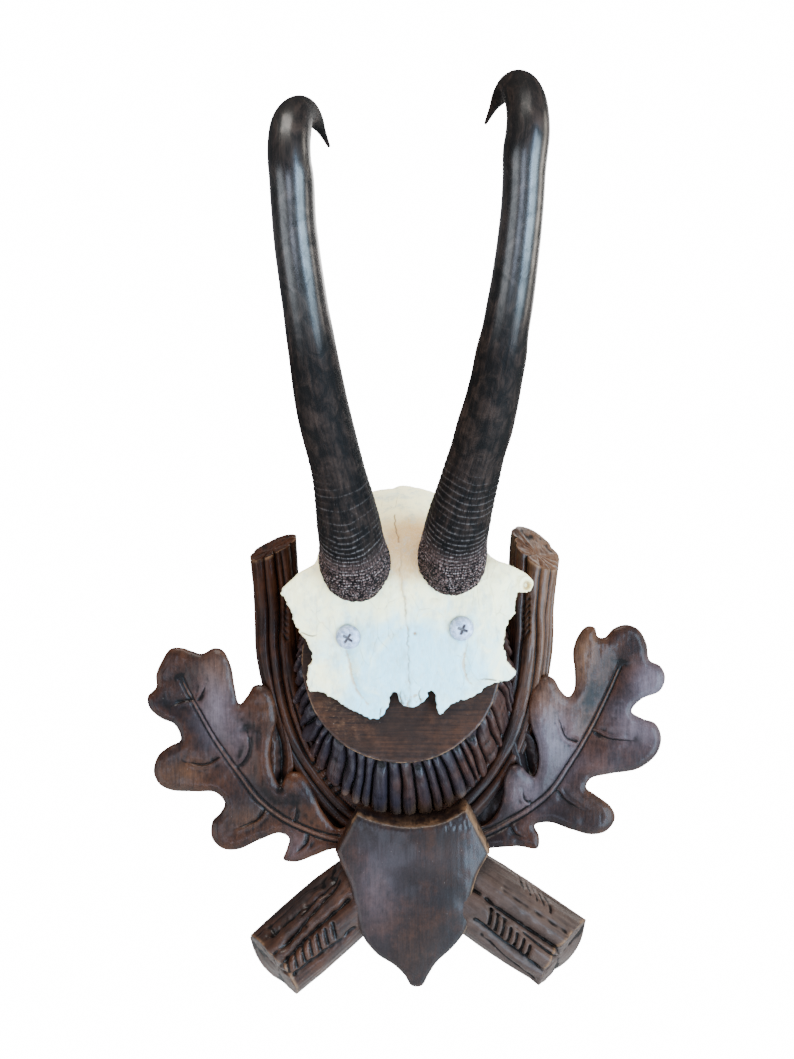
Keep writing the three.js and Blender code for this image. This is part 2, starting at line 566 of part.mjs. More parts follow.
// Materials
const finishes = {
  wood: new THREE.MeshStandardMaterial({ color: 0x3d2417, roughness: 0.5, metalness: 0 }),
  bone: new THREE.MeshStandardMaterial({ color: 0xe9e4d4, roughness: 0.6, metalness: 0 }),
  horn: new THREE.MeshStandardMaterial({ color: 0x1d1715, roughness: 0.4, metalness: 0 }),
  zinc: new THREE.MeshStandardMaterial({ color: 0xb9c2cc, roughness: 0.45, metalness: 0.7 }),
};

function piece(name, solid, material, frame) {
  const mesh = new THREE.Mesh(geometryOf(solid), material);
  mesh.name = name;
  if (frame) {
    mesh.position.copy(frame.position);
    mesh.quaternion.copy(frame.quaternion);
  }
  return mesh;
}

const mount = new THREE.Group();
mount.add(piece("carved_plaque", woodSolid, finishes.wood));
mount.add(piece("skull_plate", boneSolid, finishes.bone));
mount.add(piece("horn_left", hornOnBone(LEFT_HORN), finishes.horn));
mount.add(piece("horn_right", hornOnBone(RIGHT_HORN), finishes.horn));
mount.add(piece("screw_left", screw, finishes.zinc, screwFrames.left));
mount.add(piece("screw_right", screw, finishes.zinc, screwFrames.right));
mount.rotation.x = Math.PI / 2;

export default mount;
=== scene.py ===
import math

import bpy
import numpy as np
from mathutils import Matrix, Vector, geometry


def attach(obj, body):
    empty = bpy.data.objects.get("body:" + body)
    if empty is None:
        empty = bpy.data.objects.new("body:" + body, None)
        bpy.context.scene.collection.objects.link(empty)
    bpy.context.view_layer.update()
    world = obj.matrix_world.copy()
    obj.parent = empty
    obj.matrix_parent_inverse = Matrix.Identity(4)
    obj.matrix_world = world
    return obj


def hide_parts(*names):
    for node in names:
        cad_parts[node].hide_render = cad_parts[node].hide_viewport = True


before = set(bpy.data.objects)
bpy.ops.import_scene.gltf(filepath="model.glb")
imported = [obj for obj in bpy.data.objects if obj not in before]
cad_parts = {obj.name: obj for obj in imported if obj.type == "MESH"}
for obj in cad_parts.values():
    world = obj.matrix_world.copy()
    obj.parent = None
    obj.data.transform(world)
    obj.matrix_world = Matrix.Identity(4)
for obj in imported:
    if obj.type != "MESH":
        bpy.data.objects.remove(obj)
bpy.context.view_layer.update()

# Everything is worked out as it hangs on the wall, in mm: x to the right, y up, z off the wall.
# toWorld turns that into the frame's metres.


def toWorld(points):
    points = np.asarray(points, float)
    return np.stack([points[:, 0], -points[:, 2], points[:, 1]], 1) / 1000


def stacked(*columns):
    return np.stack(np.broadcast_arrays(*columns), -1)


def atWall(flat):
    return stacked(flat[:, 0], flat[:, 1], 0.0)


# noise

def cellValue(cell, seed):
    n = cell[..., 0] * 73856093 ^ cell[..., 1] * 19349663 ^ cell[..., 2] * 83492791 ^ (seed * 7919 + 17)
    n = (n ^ (n >> 13)) * 1274126177 & 0x7FFFFFFF
    n = (n ^ (n >> 15)) * 2246822519 & 0x7FFFFFFF
    return (n >> 7 & 0xFFFF) / 0xFFFF


def noise(points, size, seed=0):
    # smooth, -1 to 1; size is one number or one per axis, in mm
    p = np.asarray(points, float) / size
    cell = np.floor(p).astype(np.int64)
    f = p - cell
    f = f * f * (3 - 2 * f)
    total = 0
    for corner in np.ndindex(2, 2, 2):
        weight = np.prod(np.where(corner, f, 1 - f), axis=-1)
        total = total + weight * cellValue(cell + np.array(corner), seed)
    return total * 2 - 1


def rough(points, size, seed=0, layers=3):
    size = np.asarray(size, float)
    return sum(noise(points, size / 2 ** k, seed + 31 * k) / 2 ** k for k in range(layers))


def bump(x, width):
    return np.exp(-(x / width) ** 2)


def between(x, low, high):
    t = np.clip((x - low) / (high - low), 0, 1)
    return t * t * (3 - 2 * t)


# curves and outlines

def resample(curve, spacing):
    steps = np.linalg.norm(np.diff(curve[:, :3], axis=0), axis=1)
    along = np.concatenate([[0], np.cumsum(steps)])
    count = max(int(round(along[-1] / spacing)), 2)
    wanted = np.linspace(0, along[-1], count + 1)
    return np.stack([np.interp(wanted, along, column) for column in curve.T], 1)


def smoothCurve(points, spacing, closed=False):
    # centripetal Catmull-Rom through the points
    p = np.asarray(points, float)
    if closed:
        p = np.concatenate([p[-1:], p, p[:2]])
    else:
        p = np.concatenate([[2 * p[0] - p[1]], p, [2 * p[-1] - p[-2]]])
    u = np.linspace(0, 1, 14, endpoint=False)[:, None]
    pieces = []
    for a, b, c, d in zip(p, p[1:], p[2:], p[3:]):
        s, t, v = (max(np.linalg.norm(m - n), 1e-6) ** 0.5 for m, n in ((b, a), (c, b), (d, c)))
        goIn = ((b - a) / s - (c - a) / (s + t) + (c - b) / t) * t
        goOut = ((c - b) / t - (d - b) / (t + v) + (d - c) / v) * t
        pieces.append(b + goIn * u + (3 * (c - b) - 2 * goIn - goOut) * u ** 2
                      + (2 * (b - c) + goIn + goOut) * u ** 3)
    curve = resample(np.concatenate(pieces + [p[-2:-1]]), spacing)
    return curve[:-1] if closed else curve


def corneredOutline(points, corners, spacing):
    # a closed outline that stays sharp at the corner points
    pieces = []
    for first, last in zip(corners, corners[1:] + corners[:1]):
        run = [points[first]]
        i = first
        while i != last or len(run) == 1:
            i = (i + 1) % len(points)
            run.append(points[i])
        pieces.append(smoothCurve(run, spacing)[:-1])
    return np.concatenate(pieces)


def outwardNormals(outline):
    ahead, behind = np.roll(outline, -1, 0), np.roll(outline, 1, 0)
    t = ahead - behind
    n = np.stack([t[:, 1], -t[:, 0]], 1)
    n /= np.linalg.norm(n, axis=1, keepdims=True) + 1e-9
    area = np.sum(outline[:, 0] * ahead[:, 1] - ahead[:, 0] * outline[:, 1])
    return n if area > 0 else -n


def nearest(points, line, closed=False):
    # distance to a line of points, share along it (0 to 1), and which side of it (-1 or 1)
    line = np.asarray(line, float)[:, :2]
    if closed:
        line = np.concatenate([line, line[:1]])
    best = np.full(len(points), 1e9)
    share = np.zeros(len(points))
    side = np.ones(len(points))
    for k, (a, b) in enumerate(zip(line, line[1:])):
        ab = b - a
        t = np.clip(((points - a) @ ab) / (ab @ ab + 1e-12), 0, 1)
        off = points - (a + t[:, None] * ab)
        d = np.hypot(off[:, 0], off[:, 1])
        closer = d < best
        best = np.where(closer, d, best)
        share = np.where(closer, (k + t) / (len(line) - 1), share)
        side = np.where(closer, np.sign(ab[0] * off[:, 1] - ab[1] * off[:, 0] + 1e-12), side)
    return best, share, side


def inside(points, outline):
    found = np.zeros(len(points), bool)
    for a, b in zip(outline, np.roll(outline, -1, 0)):
        crosses = (b[1] > points[:, 1]) != (a[1] > points[:, 1])
        crossing = (a[0] - b[0]) * (points[:, 1] - b[1]) / (a[1] - b[1] + 1e-30) + b[0]
        found ^= crosses & (points[:, 0] < crossing)
    return found


# meshes

def hollowness(points, edges, normals, rounds):
    # how far a point lies below (+) or stands above (-) its smoothed surroundings, in mm
    a, b = edges[:, 0], edges[:, 1]
    count = np.bincount(a, minlength=len(points)) + np.bincount(b, minlength=len(points)) + 1e-9
    smooth = points.copy()
    for _ in range(rounds):
        for axis in range(3):
            column = smooth[:, axis]
            total = np.bincount(a, column[b], len(points)) + np.bincount(b, column[a], len(points))
            smooth[:, axis] = 0.5 * column + 0.5 * total / count
    return np.sum((smooth - points) * normals, axis=1)


def makePiece(name, points, faces, material, node, run=None, marks=None, rounds=16):
    # run is the grain's own place for each point, (across, across, along) in mm; marks are extra values
    mesh = bpy.data.meshes.new(name)
    faces = [np.asarray(f, np.int32) for f in faces if len(f)]
    sizes = np.concatenate([np.full(len(f), f.shape[1], np.int32) for f in faces])
    corners = np.concatenate([f.ravel() for f in faces])
    mesh.vertices.add(len(points))
    mesh.vertices.foreach_set("co", toWorld(points).astype(np.float32).ravel())
    mesh.loops.add(len(corners))
    mesh.loops.foreach_set("vertex_index", corners)
    mesh.polygons.add(len(sizes))
    mesh.polygons.foreach_set("loop_start", (np.cumsum(sizes) - sizes).astype(np.int32))
    mesh.update(calc_edges=True)
    mesh.validate()
    mesh.shade_smooth()
    normals = np.zeros(len(mesh.vertices) * 3, np.float32)
    mesh.vertices.foreach_get("normal", normals)
    edges = np.zeros(len(mesh.edges) * 2, np.int32)
    mesh.edges.foreach_get("vertices", edges)
    worldPoints = toWorld(points) * 1000
    hollow = hollowness(worldPoints, edges.reshape(-1, 2), normals.reshape(-1, 3), rounds)
    values = {"hollow": hollow, **(marks or {})}
    for key, value in values.items():
        mesh.attributes.new(key, "FLOAT", "POINT").data.foreach_set("value", np.asarray(value, np.float32))
    grain = points[:, [0, 2, 1]] if run is None else run
    mesh.attributes.new("run", "FLOAT_VECTOR", "POINT").data.foreach_set(
        "vector", np.asarray(grain, np.float32).ravel())
    obj = bpy.data.objects.new(name, mesh)
    bpy.context.scene.collection.objects.link(obj)
    mesh.materials.append(material)
    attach(obj, "root")
    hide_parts(node)
    print(name, len(points), "points,", sum(len(f) * (f.shape[1] - 2) for f in faces), "triangles")
    return obj


def gridFaces(rows, columns, wrap=True, start=0):
    r = np.arange(rows - 1)[:, None] * columns
    c = np.arange(columns if wrap else columns - 1)[None, :]
    n = (c + 1) % columns
    quads = np.stack([r + c, r + n, r + n + columns, r + c + columns], -1).reshape(-1, 4)
    return quads + start


def fanFaces(loop, hub):
    return np.stack([loop, np.roll(loop, -1), np.full(len(loop), hub)], 1)


def hexGrid(outline, spacing, clear):
    # points inside an outline, at least clear away from it, and how far from it each one is
    low, high = outline.min(0), outline.max(0)
    rows = []
    for k, y in enumerate(np.arange(low[1], high[1], spacing * 0.87)):
        xs = np.arange(low[0] + (k % 2) * spacing / 2, high[0], spacing)
        rows.append(np.column_stack([xs, np.full(len(xs), y)]))
    grid = np.concatenate(rows)
    grid = grid[inside(grid, outline)]
    distance, _, _ = nearest(grid, outline, closed=True)
    return grid[distance > clear], distance[distance > clear]


def triangulate(flat, ringLength):
    edges = [(i, (i + 1) % ringLength) for i in range(ringLength)]
    found = geometry.delaunay_2d_cdt([Vector(p) for p in flat], edges, [], 1, 1e-7)
    back = np.array([ids[0] if ids else 0 for ids in found[3]], np.int32)
    return back[np.array(found[2], np.int32)]


def plate(outline, spacing, edge, front, back, wallRings, rows=(), undercut=0.0, wallRough=None, seed=0,
          backSpots=None):
    # A carved slab. front(xy, distance to the edge) and back(xy) give heights. rows are lines that need
    # a finer mesh: curve, offsets of its extra rows of points, and half the width they take up.
    normal = outwardNormals(outline)
    n = len(outline)
    grid, distance = hexGrid(outline, spacing, edge + spacing * 0.5)
    extra = []
    for curve, offsets, halfWidth in rows:
        keep = nearest(grid, curve)[0] > halfWidth
        grid, distance = grid[keep], distance[keep]
        sideways = outwardNormals(curve)
        sideways[0], sideways[-1] = sideways[1], sideways[-2]
        strip = np.concatenate([curve + sideways * offset for offset in offsets])
        strip = strip[inside(strip, outline)]
        for other, _, otherHalf in rows:
            if other is curve:
                break
            strip = strip[nearest(strip, other)[0] > otherHalf]
        toEdge = nearest(strip, outline, closed=True)[0] if len(strip) else np.zeros(0)
        extra.append((strip[toEdge > edge + 0.2], toEdge[toEdge > edge + 0.2]))
    flat, reach = [outline], [np.zeros(n)]
    for inset in (edge * 0.12, edge * 0.45, edge):
        ring = outline - normal * inset
        clear = nearest(ring, outline, closed=True)[0] > inset * 0.93
        flat.append(ring[clear])
        reach.append(np.full(clear.sum(), inset))
    flat = np.concatenate(flat + [grid] + [strip for strip, _ in extra])
    reach = np.concatenate(reach + [distance] + [toEdge for _, toEdge in extra])
    drop = np.clip(1 - reach / edge, 0, 1)
    height = front(flat, reach) - edge * (1 - np.sqrt(1 - drop ** 2))
    points = [np.column_stack([flat, height])]
    faces = [triangulate(flat, n)]
    rim, rimTop, rimBack = flat[:n], height[:n], back(flat[:n])
    for k in range(1, wallRings + 1):
        share = k / wallRings
        place = np.column_stack([rim - normal * undercut * share ** 0.7,
                                 rimTop + (rimBack - rimTop) * share])
        if wallRough:
            place[:, :2] += normal * (wallRough[0] * rough(place, wallRough[1], seed))[:, None]
        points.append(place)
    start = len(flat)
    rings = np.concatenate([np.arange(n)[None], start + np.arange(wallRings * n).reshape(wallRings, n)])
    ahead = np.roll(rings, -1, 1)
    quads = np.stack([rings[:-1], rings[1:], ahead[1:], ahead[:-1]], -1).reshape(-1, 4)
    isCounterClockwise = np.sum(rim[:, 0] * np.roll(rim[:, 1], -1) - np.roll(rim[:, 0], -1) * rim[:, 1]) > 0
    faces.append(quads if isCounterClockwise else quads[:, ::-1])
    coarse, _ = hexGrid(outline, 3.0, max(np.max(undercut), 0) + 1.5)
    if backSpots is not None:
        away = np.min(np.linalg.norm(coarse[:, None] - backSpots[None], axis=2), axis=1)
        coarse = np.concatenate([coarse[away > 1.2], backSpots])
    under = np.concatenate([outline, coarse])
    places = np.concatenate([rings[-1], start + wallRings * n + np.arange(len(coarse))])
    points.append(np.column_stack([coarse, back(coarse)]))
    faces.append(places[triangulate(under, n)][:, ::-1])
    return np.concatenate(points), faces


def sweep(line, radii, angles, section, cuts=()):
    # A tube along line (k, 3). section(s, angle, radius, place) gives the radius.
    # cuts are planes: a point, the way it faces, and whether it cuts the start or the end.
    steps = np.linalg.norm(np.diff(line, axis=0), axis=1)
    along = np.concatenate([[0], np.cumsum(steps)])
    tangent = np.gradient(line, along, axis=0)
    tangent /= np.linalg.norm(tangent, axis=1, keepdims=True)
    side = [np.array([1.0, 0.0, 0.0])]
    for t in tangent:
        s = side[-1] - t * (side[-1] @ t)
        side.append(s / np.linalg.norm(s))
    side = np.array(side[1:])
    over = np.cross(tangent, side)
    first, last = np.zeros(len(angles)), np.full(len(angles), along[-1])
    for at, faces, isStart in cuts:
        faces = np.array(faces) / np.linalg.norm(faces)
        gap = (line - np.array(at)) @ faces
        # where each line of the skin runs through the plane
        for i, angle in enumerate(angles):
            skin = gap + ((side * math.cos(angle) + over * math.sin(angle)) @ faces) * radii
            crossed = np.nonzero(np.diff(np.sign(skin)))[0]
            if not len(crossed):
                continue
            k = crossed[0] if isStart else crossed[-1]
            s = along[k] + (along[k + 1] - along[k]) * skin[k] / (skin[k] - skin[k + 1])
            if isStart:
                first[i] = s
            else:
                last[i] = s
    share = np.linspace(0, 1, len(line))[:, None]
    s = first[None] + (last - first)[None] * share
    centre, sideAt, overAt = (np.stack([np.interp(s, along, column) for column in array.T], -1)
                              for array in (line, side, over))
    radius = np.interp(s, along, radii)
    angle = np.broadcast_to(np.asarray(angles)[None], s.shape)
    out = sideAt * np.cos(angle)[..., None] + overAt * np.sin(angle)[..., None]
    place = centre + out * radius[..., None]
    r = section(s, angle, radius, place)
    run = np.stack([radius * np.cos(angle), radius * np.sin(angle), s], -1)
    return centre + out * r[..., None], run


# shader wiring

class Wire:
    # a socket that can be used in sums
    def __init__(self, nodes, socket):
        self.nodes, self.socket = nodes, socket

    def maths(self, operation, first, second):
        return self.nodes.make("ShaderNodeMath", {"operation": operation}, {0: first, 1: second})

    def __add__(self, other):
        return self.maths("ADD", self, other)

    def __radd__(self, other):
        return self.maths("ADD", other, self)

    def __sub__(self, other):
        return self.maths("SUBTRACT", self, other)

    def __rsub__(self, other):
        return self.maths("SUBTRACT", other, self)

    def __mul__(self, other):
        return self.maths("MULTIPLY", self, other)

    def __rmul__(self, other):
        return self.maths("MULTIPLY", other, self)

    def __neg__(self):
        return self.maths("MULTIPLY", self, -1.0)

    def ramp(self, low, high):
        # 0 below low, 1 above high, smooth between; low may be the higher number
        return self.nodes.make("ShaderNodeMapRange", {"interpolation_type": "SMOOTHSTEP"},
                               {"Value": self, "From Min": low, "From Max": high})


class Nodes:
    # adds nodes to one tree
    def __init__(self, tree):
        self.tree = tree

    def connect(self, value, socket):
        if isinstance(value, Wire):
            self.tree.links.new(value.socket, socket)
        elif socket.type == "RGBA" and len(value) == 3:
            socket.default_value = (*value, 1)
        else:
            socket.default_value = value

    def make(self, kind, settings=None, sockets=None, output=0):
        node = self.tree.nodes.new(kind)
        for key, value in (settings or {}).items():
            setattr(node, key, value)
        for key, value in (sockets or {}).items():
            self.connect(value, node.inputs[key])
        return Wire(self, node.outputs[output])


class Shade(Nodes):
    # one material
    def __init__(self, name):
        self.material = bpy.data.materials.new(name)
        self.material.use_nodes = True
        super().__init__(self.material.node_tree)

    def value(self, name):
        return self.make("ShaderNodeAttribute", {"attribute_name": name}, output="Fac")

    def place(self):
        return self.make("ShaderNodeAttribute", {"attribute_name": "run"}, output="Vector")

    def stretched(self, vector, scale):
        # scale is one number or one per axis, in features per mm
        scale = scale if isinstance(scale, tuple) else (scale,) * 3
        return self.make("ShaderNodeVectorMath", {"operation": "MULTIPLY"}, {0: vector, 1: scale})

    def noise(self, vector, scale, detail=4.0, roughness=0.55, distortion=0.0):
        return self.make("ShaderNodeTexNoise", sockets={
            "Vector": self.stretched(vector, scale), "Scale": 1.0, "Detail": detail, "Roughness": roughness,
            "Distortion": distortion})

    def cells(self, vector, scale, feature):
        # F1 gives dots, DISTANCE_TO_EDGE gives cracks
        return self.make("ShaderNodeTexVoronoi", {"feature": feature},
                         {"Vector": self.stretched(vector, scale), "Scale": 1.0})

    def mix(self, share, low, high, blend="MIX"):
        return self.make("ShaderNodeMix", {"data_type": "RGBA", "blend_type": blend},
                         {0: share, 6: low, 7: high}, output=2)

    def finish(self, colour, roughness, height, bumpStep, sockets=None):
        raised = self.make("ShaderNodeBump", sockets={
            "Height": height, "Distance": bumpStep, "Strength": 1.0})
        surface = {"Base Color": colour, "Roughness": roughness, "Normal": raised, **(sockets or {})}
        for key, value in surface.items():
            self.connect(value, self.tree.nodes["Principled BSDF"].inputs[key])
        return self.material


# wood of the plaque

woodLook = {
    "deep": (0.0007, 0.0005, 0.0004),
    "dark": (0.0050, 0.0023, 0.0016),
    "brown": (0.0190, 0.0070, 0.0036),
    "warm": (0.070, 0.0235, 0.0085),
    "weathered": (0.062, 0.046, 0.038),
    # bluish: partly the wood's own tone, partly painted bluish sheen
    "bluish": (0.0110, 0.0093, 0.0135),
    "worn": (0.17, 0.098, 0.052),
    "dust": (0.20, 0.185, 0.165),
    # painted light; on the board it is the paler bare wood of the back
    "lit": (0.115, 0.056, 0.028),
    # painted sheen: a pale bluish reflection put into the colour
    "paintedSheen": (0.108, 0.086, 0.100),
    "stainAndPaintedShade": (0.76, 0.73, 0.74),      # darkens all of it
    "grainAcross": 1.15,      # grain lines per mm
    "grainAlong": 0.045,
    "patch": 0.038,           # colour patches per mm
    "bumpStep": 0.00022,      # metres
    "varnish": 0.14,
    "varnishRoughness": 0.24,
    "shine": 0.10,
}


def carvedWood(name, warmth=0.5, dirtAndPaintedShade=0.25, wear=0.35, bluish=0.0, grainShare=1.0, varnish=1.0):
    # warmth: how reddish; then how deep a hollow darkens, with dirt and painted shade, and how high a ridge
    # lightens with wear, in mm
    s = Shade(name)
    look = woodLook
    place, hollow = s.place(), s.value("hollow")
    across, along = look["grainAcross"], look["grainAlong"]
    grain = s.noise(place, (across, across, along), 4.0, 0.62)
    fine = s.noise(place, (3.2, 3.2, 0.35), 3.0, 0.6)
    patch = s.noise(place, look["patch"], 2.0, 0.5, 0.6)
    small = s.noise(place, 0.32, 4.0, 0.62)
    # hollows and the painted shade spots darken towards deep, as dirt and painted shade
    inGroove = (hollow + (small - 0.5) * 0.08 + s.value("shade") * dirtAndPaintedShade * 0.74).ramp(0.0, dirtAndPaintedShade)
    onRidge = (-hollow + (small - 0.5) * 0.14 + (fine - 0.5) * 0.05).ramp(wear * 0.2, wear)
    tone = patch * 0.9 + grain * grainShare * 0.8 + (small - 0.5) * 0.45 - 0.35 + (warmth - 0.5)
    colour = s.mix(tone.ramp(0.15, 0.95), look["dark"], look["brown"])
    reddish = patch + grain * grainShare * 0.5 + (small - 0.5) * 0.5 - 0.25 + (warmth - 0.5) * 0.8
    # bluish patches: partly the wood's own tone, partly painted bluish sheen; the bark's extra share is
    # painted cool sheen
    cooler = (0.95 - patch + small * 0.3).ramp(0.35, 0.75) * (bluish + s.value("paintedCoolLightShare"))
    colour = s.mix(cooler, colour, look["bluish"])
    colour = s.mix(reddish.ramp(0.4, 0.9) * 0.5, colour, look["warm"])
    onRidge = onRidge * (patch * 0.6 + small * 0.7).ramp(0.5, 0.9)
    colour = s.mix(onRidge * (0.2 + grain * 0.45), colour, look["warm"])
    # painted light, and on the board the paler bare back
    paintedLightAndBareWoodShare = s.value("lit") * (grain * 0.9 + small * 0.5 - 0.05).ramp(0.15, 1.0)
    # painted sheen where the marks ask for it
    paintedSheenShare = s.value("paintedSheen") * (grain * 0.5 + small * 0.5 + 0.1).ramp(0.1, 0.9)
    colour = s.mix(paintedLightAndBareWoodShare, colour, look["lit"])
    colour = s.mix(paintedSheenShare, colour, look["paintedSheen"])
    colour = s.mix(s.value("weathered") * (small * 0.7 + grain * 0.7), colour, look["weathered"])
    chipped = s.value("chip") * (small * 0.8 + grain * 0.5 + 0.25).ramp(0.62, 1.0)
    colour = s.mix(chipped, colour, look["worn"])
    scratches = s.noise(place, (2.6, 0.5, 0.5), 3.0, 0.6, 1.2).ramp(0.60, 0.72) + small.ramp(0.5, 0.8) * 0.3
    colour = s.mix(s.value("scratched") * scratches * 0.8, colour, look["worn"])
    colour = s.mix(inGroove * 0.92, colour, look["deep"])
    specks = s.cells(place, 0.42, "F1").ramp(0.075, 0.03) * small.ramp(0.5, 0.62)
    colour = s.mix(1.0, colour, look["stainAndPaintedShade"], "MULTIPLY")
    colour = s.mix(specks * 0.55, colour, look["dust"])
    roughness = 0.36 + grain * 0.12 + small * 0.18 + inGroove * 0.25 - onRidge * 0.06 + chipped * 0.2
    height = grain * grainShare * 0.7 + fine * 0.4 + small * 0.6 - specks * 0.2
    return s.finish(colour, roughness, height, look["bumpStep"], {
        "Coat Weight": look["varnish"] * varnish, "Coat Roughness": look["varnishRoughness"],
        "Specular IOR Level": look["shine"] * varnish})


woods = {
    "leaf": carvedWood("leafWood", 0.62, 0.20, 0.8, bluish=0.25, grainShare=0.7, varnish=0.7),
    "branch": carvedWood("branchWood", 0.62, 0.22, 0.6, bluish=0.12),
    # painted shade: a shaded copy of the branch wood for the left branch, with no bluish sheen patches,
    # fewer pale ridges and less varnish
    "branchDark": carvedWood("branchDarkWood", 0.60, 0.22, 0.8, varnish=0.45),
    "boss": carvedWood("bossWood", 0.54, 0.22, 0.9, bluish=0.1, grainShare=0.8),
    "shield": carvedWood("shieldWood", 0.60, 0.3, 0.7, bluish=0.2, grainShare=0.5),
    "board": carvedWood("boardWood", 0.3, 0.2, 0.6),
}
print("wood shaders done")


# leaves

leftLeaf = {
    "name": "leafLeft",
    "outline": [
        (-22, -74), (-30, -77), (-37, -69), (-42, -58), (-46, -52.5), (-50, -51.5), (-53, -53), (-55.5, -58),
        (-58.5, -52), (-60, -44), (-59, -36), (-57, -28), (-58, -20), (-62, -13.5), (-67, -13.5), (-70, -18),
        (-73.5, -21.5), (-75.5, -14), (-77, -5), (-80.5, 2), (-84.5, 3), (-90, 0.5), (-94.5, 1.5), (-99, 3),
        (-104, 2.5), (-108, -3), (-110.5, -9), (-110.5, -14.5), (-114, -18.5), (-113, -23.5), (-108, -28),
        (-102, -31), (-99.5, -37.5), (-104, -40), (-109, -44), (-111, -51), (-108.5, -56.5), (-103, -59.3),
        (-92, -60), (-84, -60.5), (-80, -65), (-82, -69.5), (-85.3, -73), (-85.5, -80.5), (-81, -84.8),
        (-74, -85.3), (-65, -81.5), (-56, -78.7), (-52, -81), (-53, -86), (-54.3, -90), (-49, -91.3),
        (-41, -88.7), (-33, -86), (-22, -86)],
    "rib": [(-24, -83), (-43, -77.5), (-62, -66.5), (-75, -51), (-85, -36.5), (-95, -19.5), (-99, -11)],
    "veins": [
        [(-94, -20), (-98, -20.5), (-103, -22.5)],
        [(-92.5, -20.5), (-90, -17), (-88.5, -13)],
        [(-82, -45), (-88, -48), (-97, -46.5)],
        [(-75, -50), (-70.5, -45), (-69, -38), (-70, -33)],
        [(-62, -67.5), (-65, -72), (-75, -76)],
        [(-49.5, -73.5), (-48.5, -70), (-48.5, -66)],
        [(-43, -79), (-44, -83), (-50, -88)]],
    # painted light, painted sheen and painted shade on the face, in that order: middle, half sizes, strength
    "lit": [((-82, -8), (8, 10), 0.7), ((-60, -22), (4, 7), 0.3), ((-99, -52), (10, 7), 0.5),
            ((-70, -71), (12, 7), 0.3)],
    "paintedSheen": [((-84, -23), (6.5, 14), 1.0), ((-73.5, -37), (6, 11), 0.4), ((-50, -84), (6, 6), 0.3)],
    "shade": [((-57, -60), (13, 15), 1.0), ((-66, -34), (8, 14), 0.8), ((-95, -40), (11, 8), 0.5),
              ((-107, -16), (8, 12), 0.7), ((-42, -78), (13, 7), 0.7), ((-80, -66), (9, 5), 0.4)],
    "seed": 3,
}
rightLeaf = {
    "name": "leafRight",
    "outline": [
        (26, -78), (35, -75.5), (40, -70), (42.5, -62), (43, -54), (46, -48.5), (50, -48.5), (53, -52),
        (56, -54), (58, -49), (57.5, -40), (54.5, -31), (53.5, -22), (56, -14), (60.5, -9), (64.5, -10.5),
        (67.5, -15.5), (71, -18.5), (73.5, -15.5), (73.8, -7), (73, 1), (75, 8), (79, 12.5), (82.5, 12),
        (84, 8), (87, 7.5), (91, 11.5), (96.5, 13.2), (102, 11), (105.5, 5), (107, -2.5), (111.5, -5),
        (113.5, -10), (111, -16), (103, -19.7), (99, -25), (103.5, -28), (109, -30), (111.7, -36),
        (109.5, -43.5), (102, -49.8), (90, -52.5), (81, -54.7), (79, -58.5), (83, -61.5), (89.5, -66.5),
        (91.3, -71.5), (87.5, -77), (80.5, -78.5), (72, -76.5), (63, -74), (56.5, -75.5), (58.3, -80),
        (57.5, -85), (48, -84.5), (38, -85.5), (26, -88)],
    "rib": [(27, -82.5), (41, -76), (52, -69.5), (63, -60.5), (73, -46.5), (81, -33), (88, -18.5), (94, -5)],
    "veins": [
        [(76, -39), (70, -36.5), (67.5, -31), (66, -26.5)],
        [(82, -33.5), (88, -36.5), (99, -37.5)],
        [(55, -65.5), (52, -64), (51, -59)],
        [(66, -59), (70, -64), (77, -67.5)],
        [(45.5, -75.5), (48, -79), (51.5, -80)]],
    "lit": [((63, -19), (8, 9), 1.0), ((78, 0), (6, 12), 0.9), ((90, -62), (14, 10), 0.3),
            ((74, -28), (9, 9), 0.35)],
    "paintedSheen": [((65, -37), (9, 16), 1.1), ((52, -60), (7, 9), 0.8), ((107, -12), (7, 8), 1.4),
              ((102, -33), (11, 8), 0.8), ((96, -24), (8, 6), 0.35), ((86, -48), (14, 7), 0.2)],
    "shade": [((90, -14), (7, 14), 0.7), ((80, -20), (5, 16), 0.9)],
    "seed": 8,
}
leafCarving = {
    "standsOff": 15.5, "swell": 4.2, "swellWidth": 9,
    "ribHeight": 0.7, "ribWidth": 0.78, "grooveDepth": 0.62, "grooveWidth": 0.4,
    "veinDepth": 0.75, "veinWidth": 0.42, "valleyDepth": 0.9, "valleyWidth": 5,
    "edge": 1.2, "spacing": 0.47, "undercut": 3.4,
    "reliefFrom": 60, "reliefMost": 10.5,
}


def spotShares(points, spots):
    total = np.zeros(len(points))
    for middle, halfSizes, strength in spots:
        total += strength * np.exp(-np.sum(((points[:, :2] - middle) / halfSizes) ** 2, axis=1))
    return np.clip(total, 0, 1)


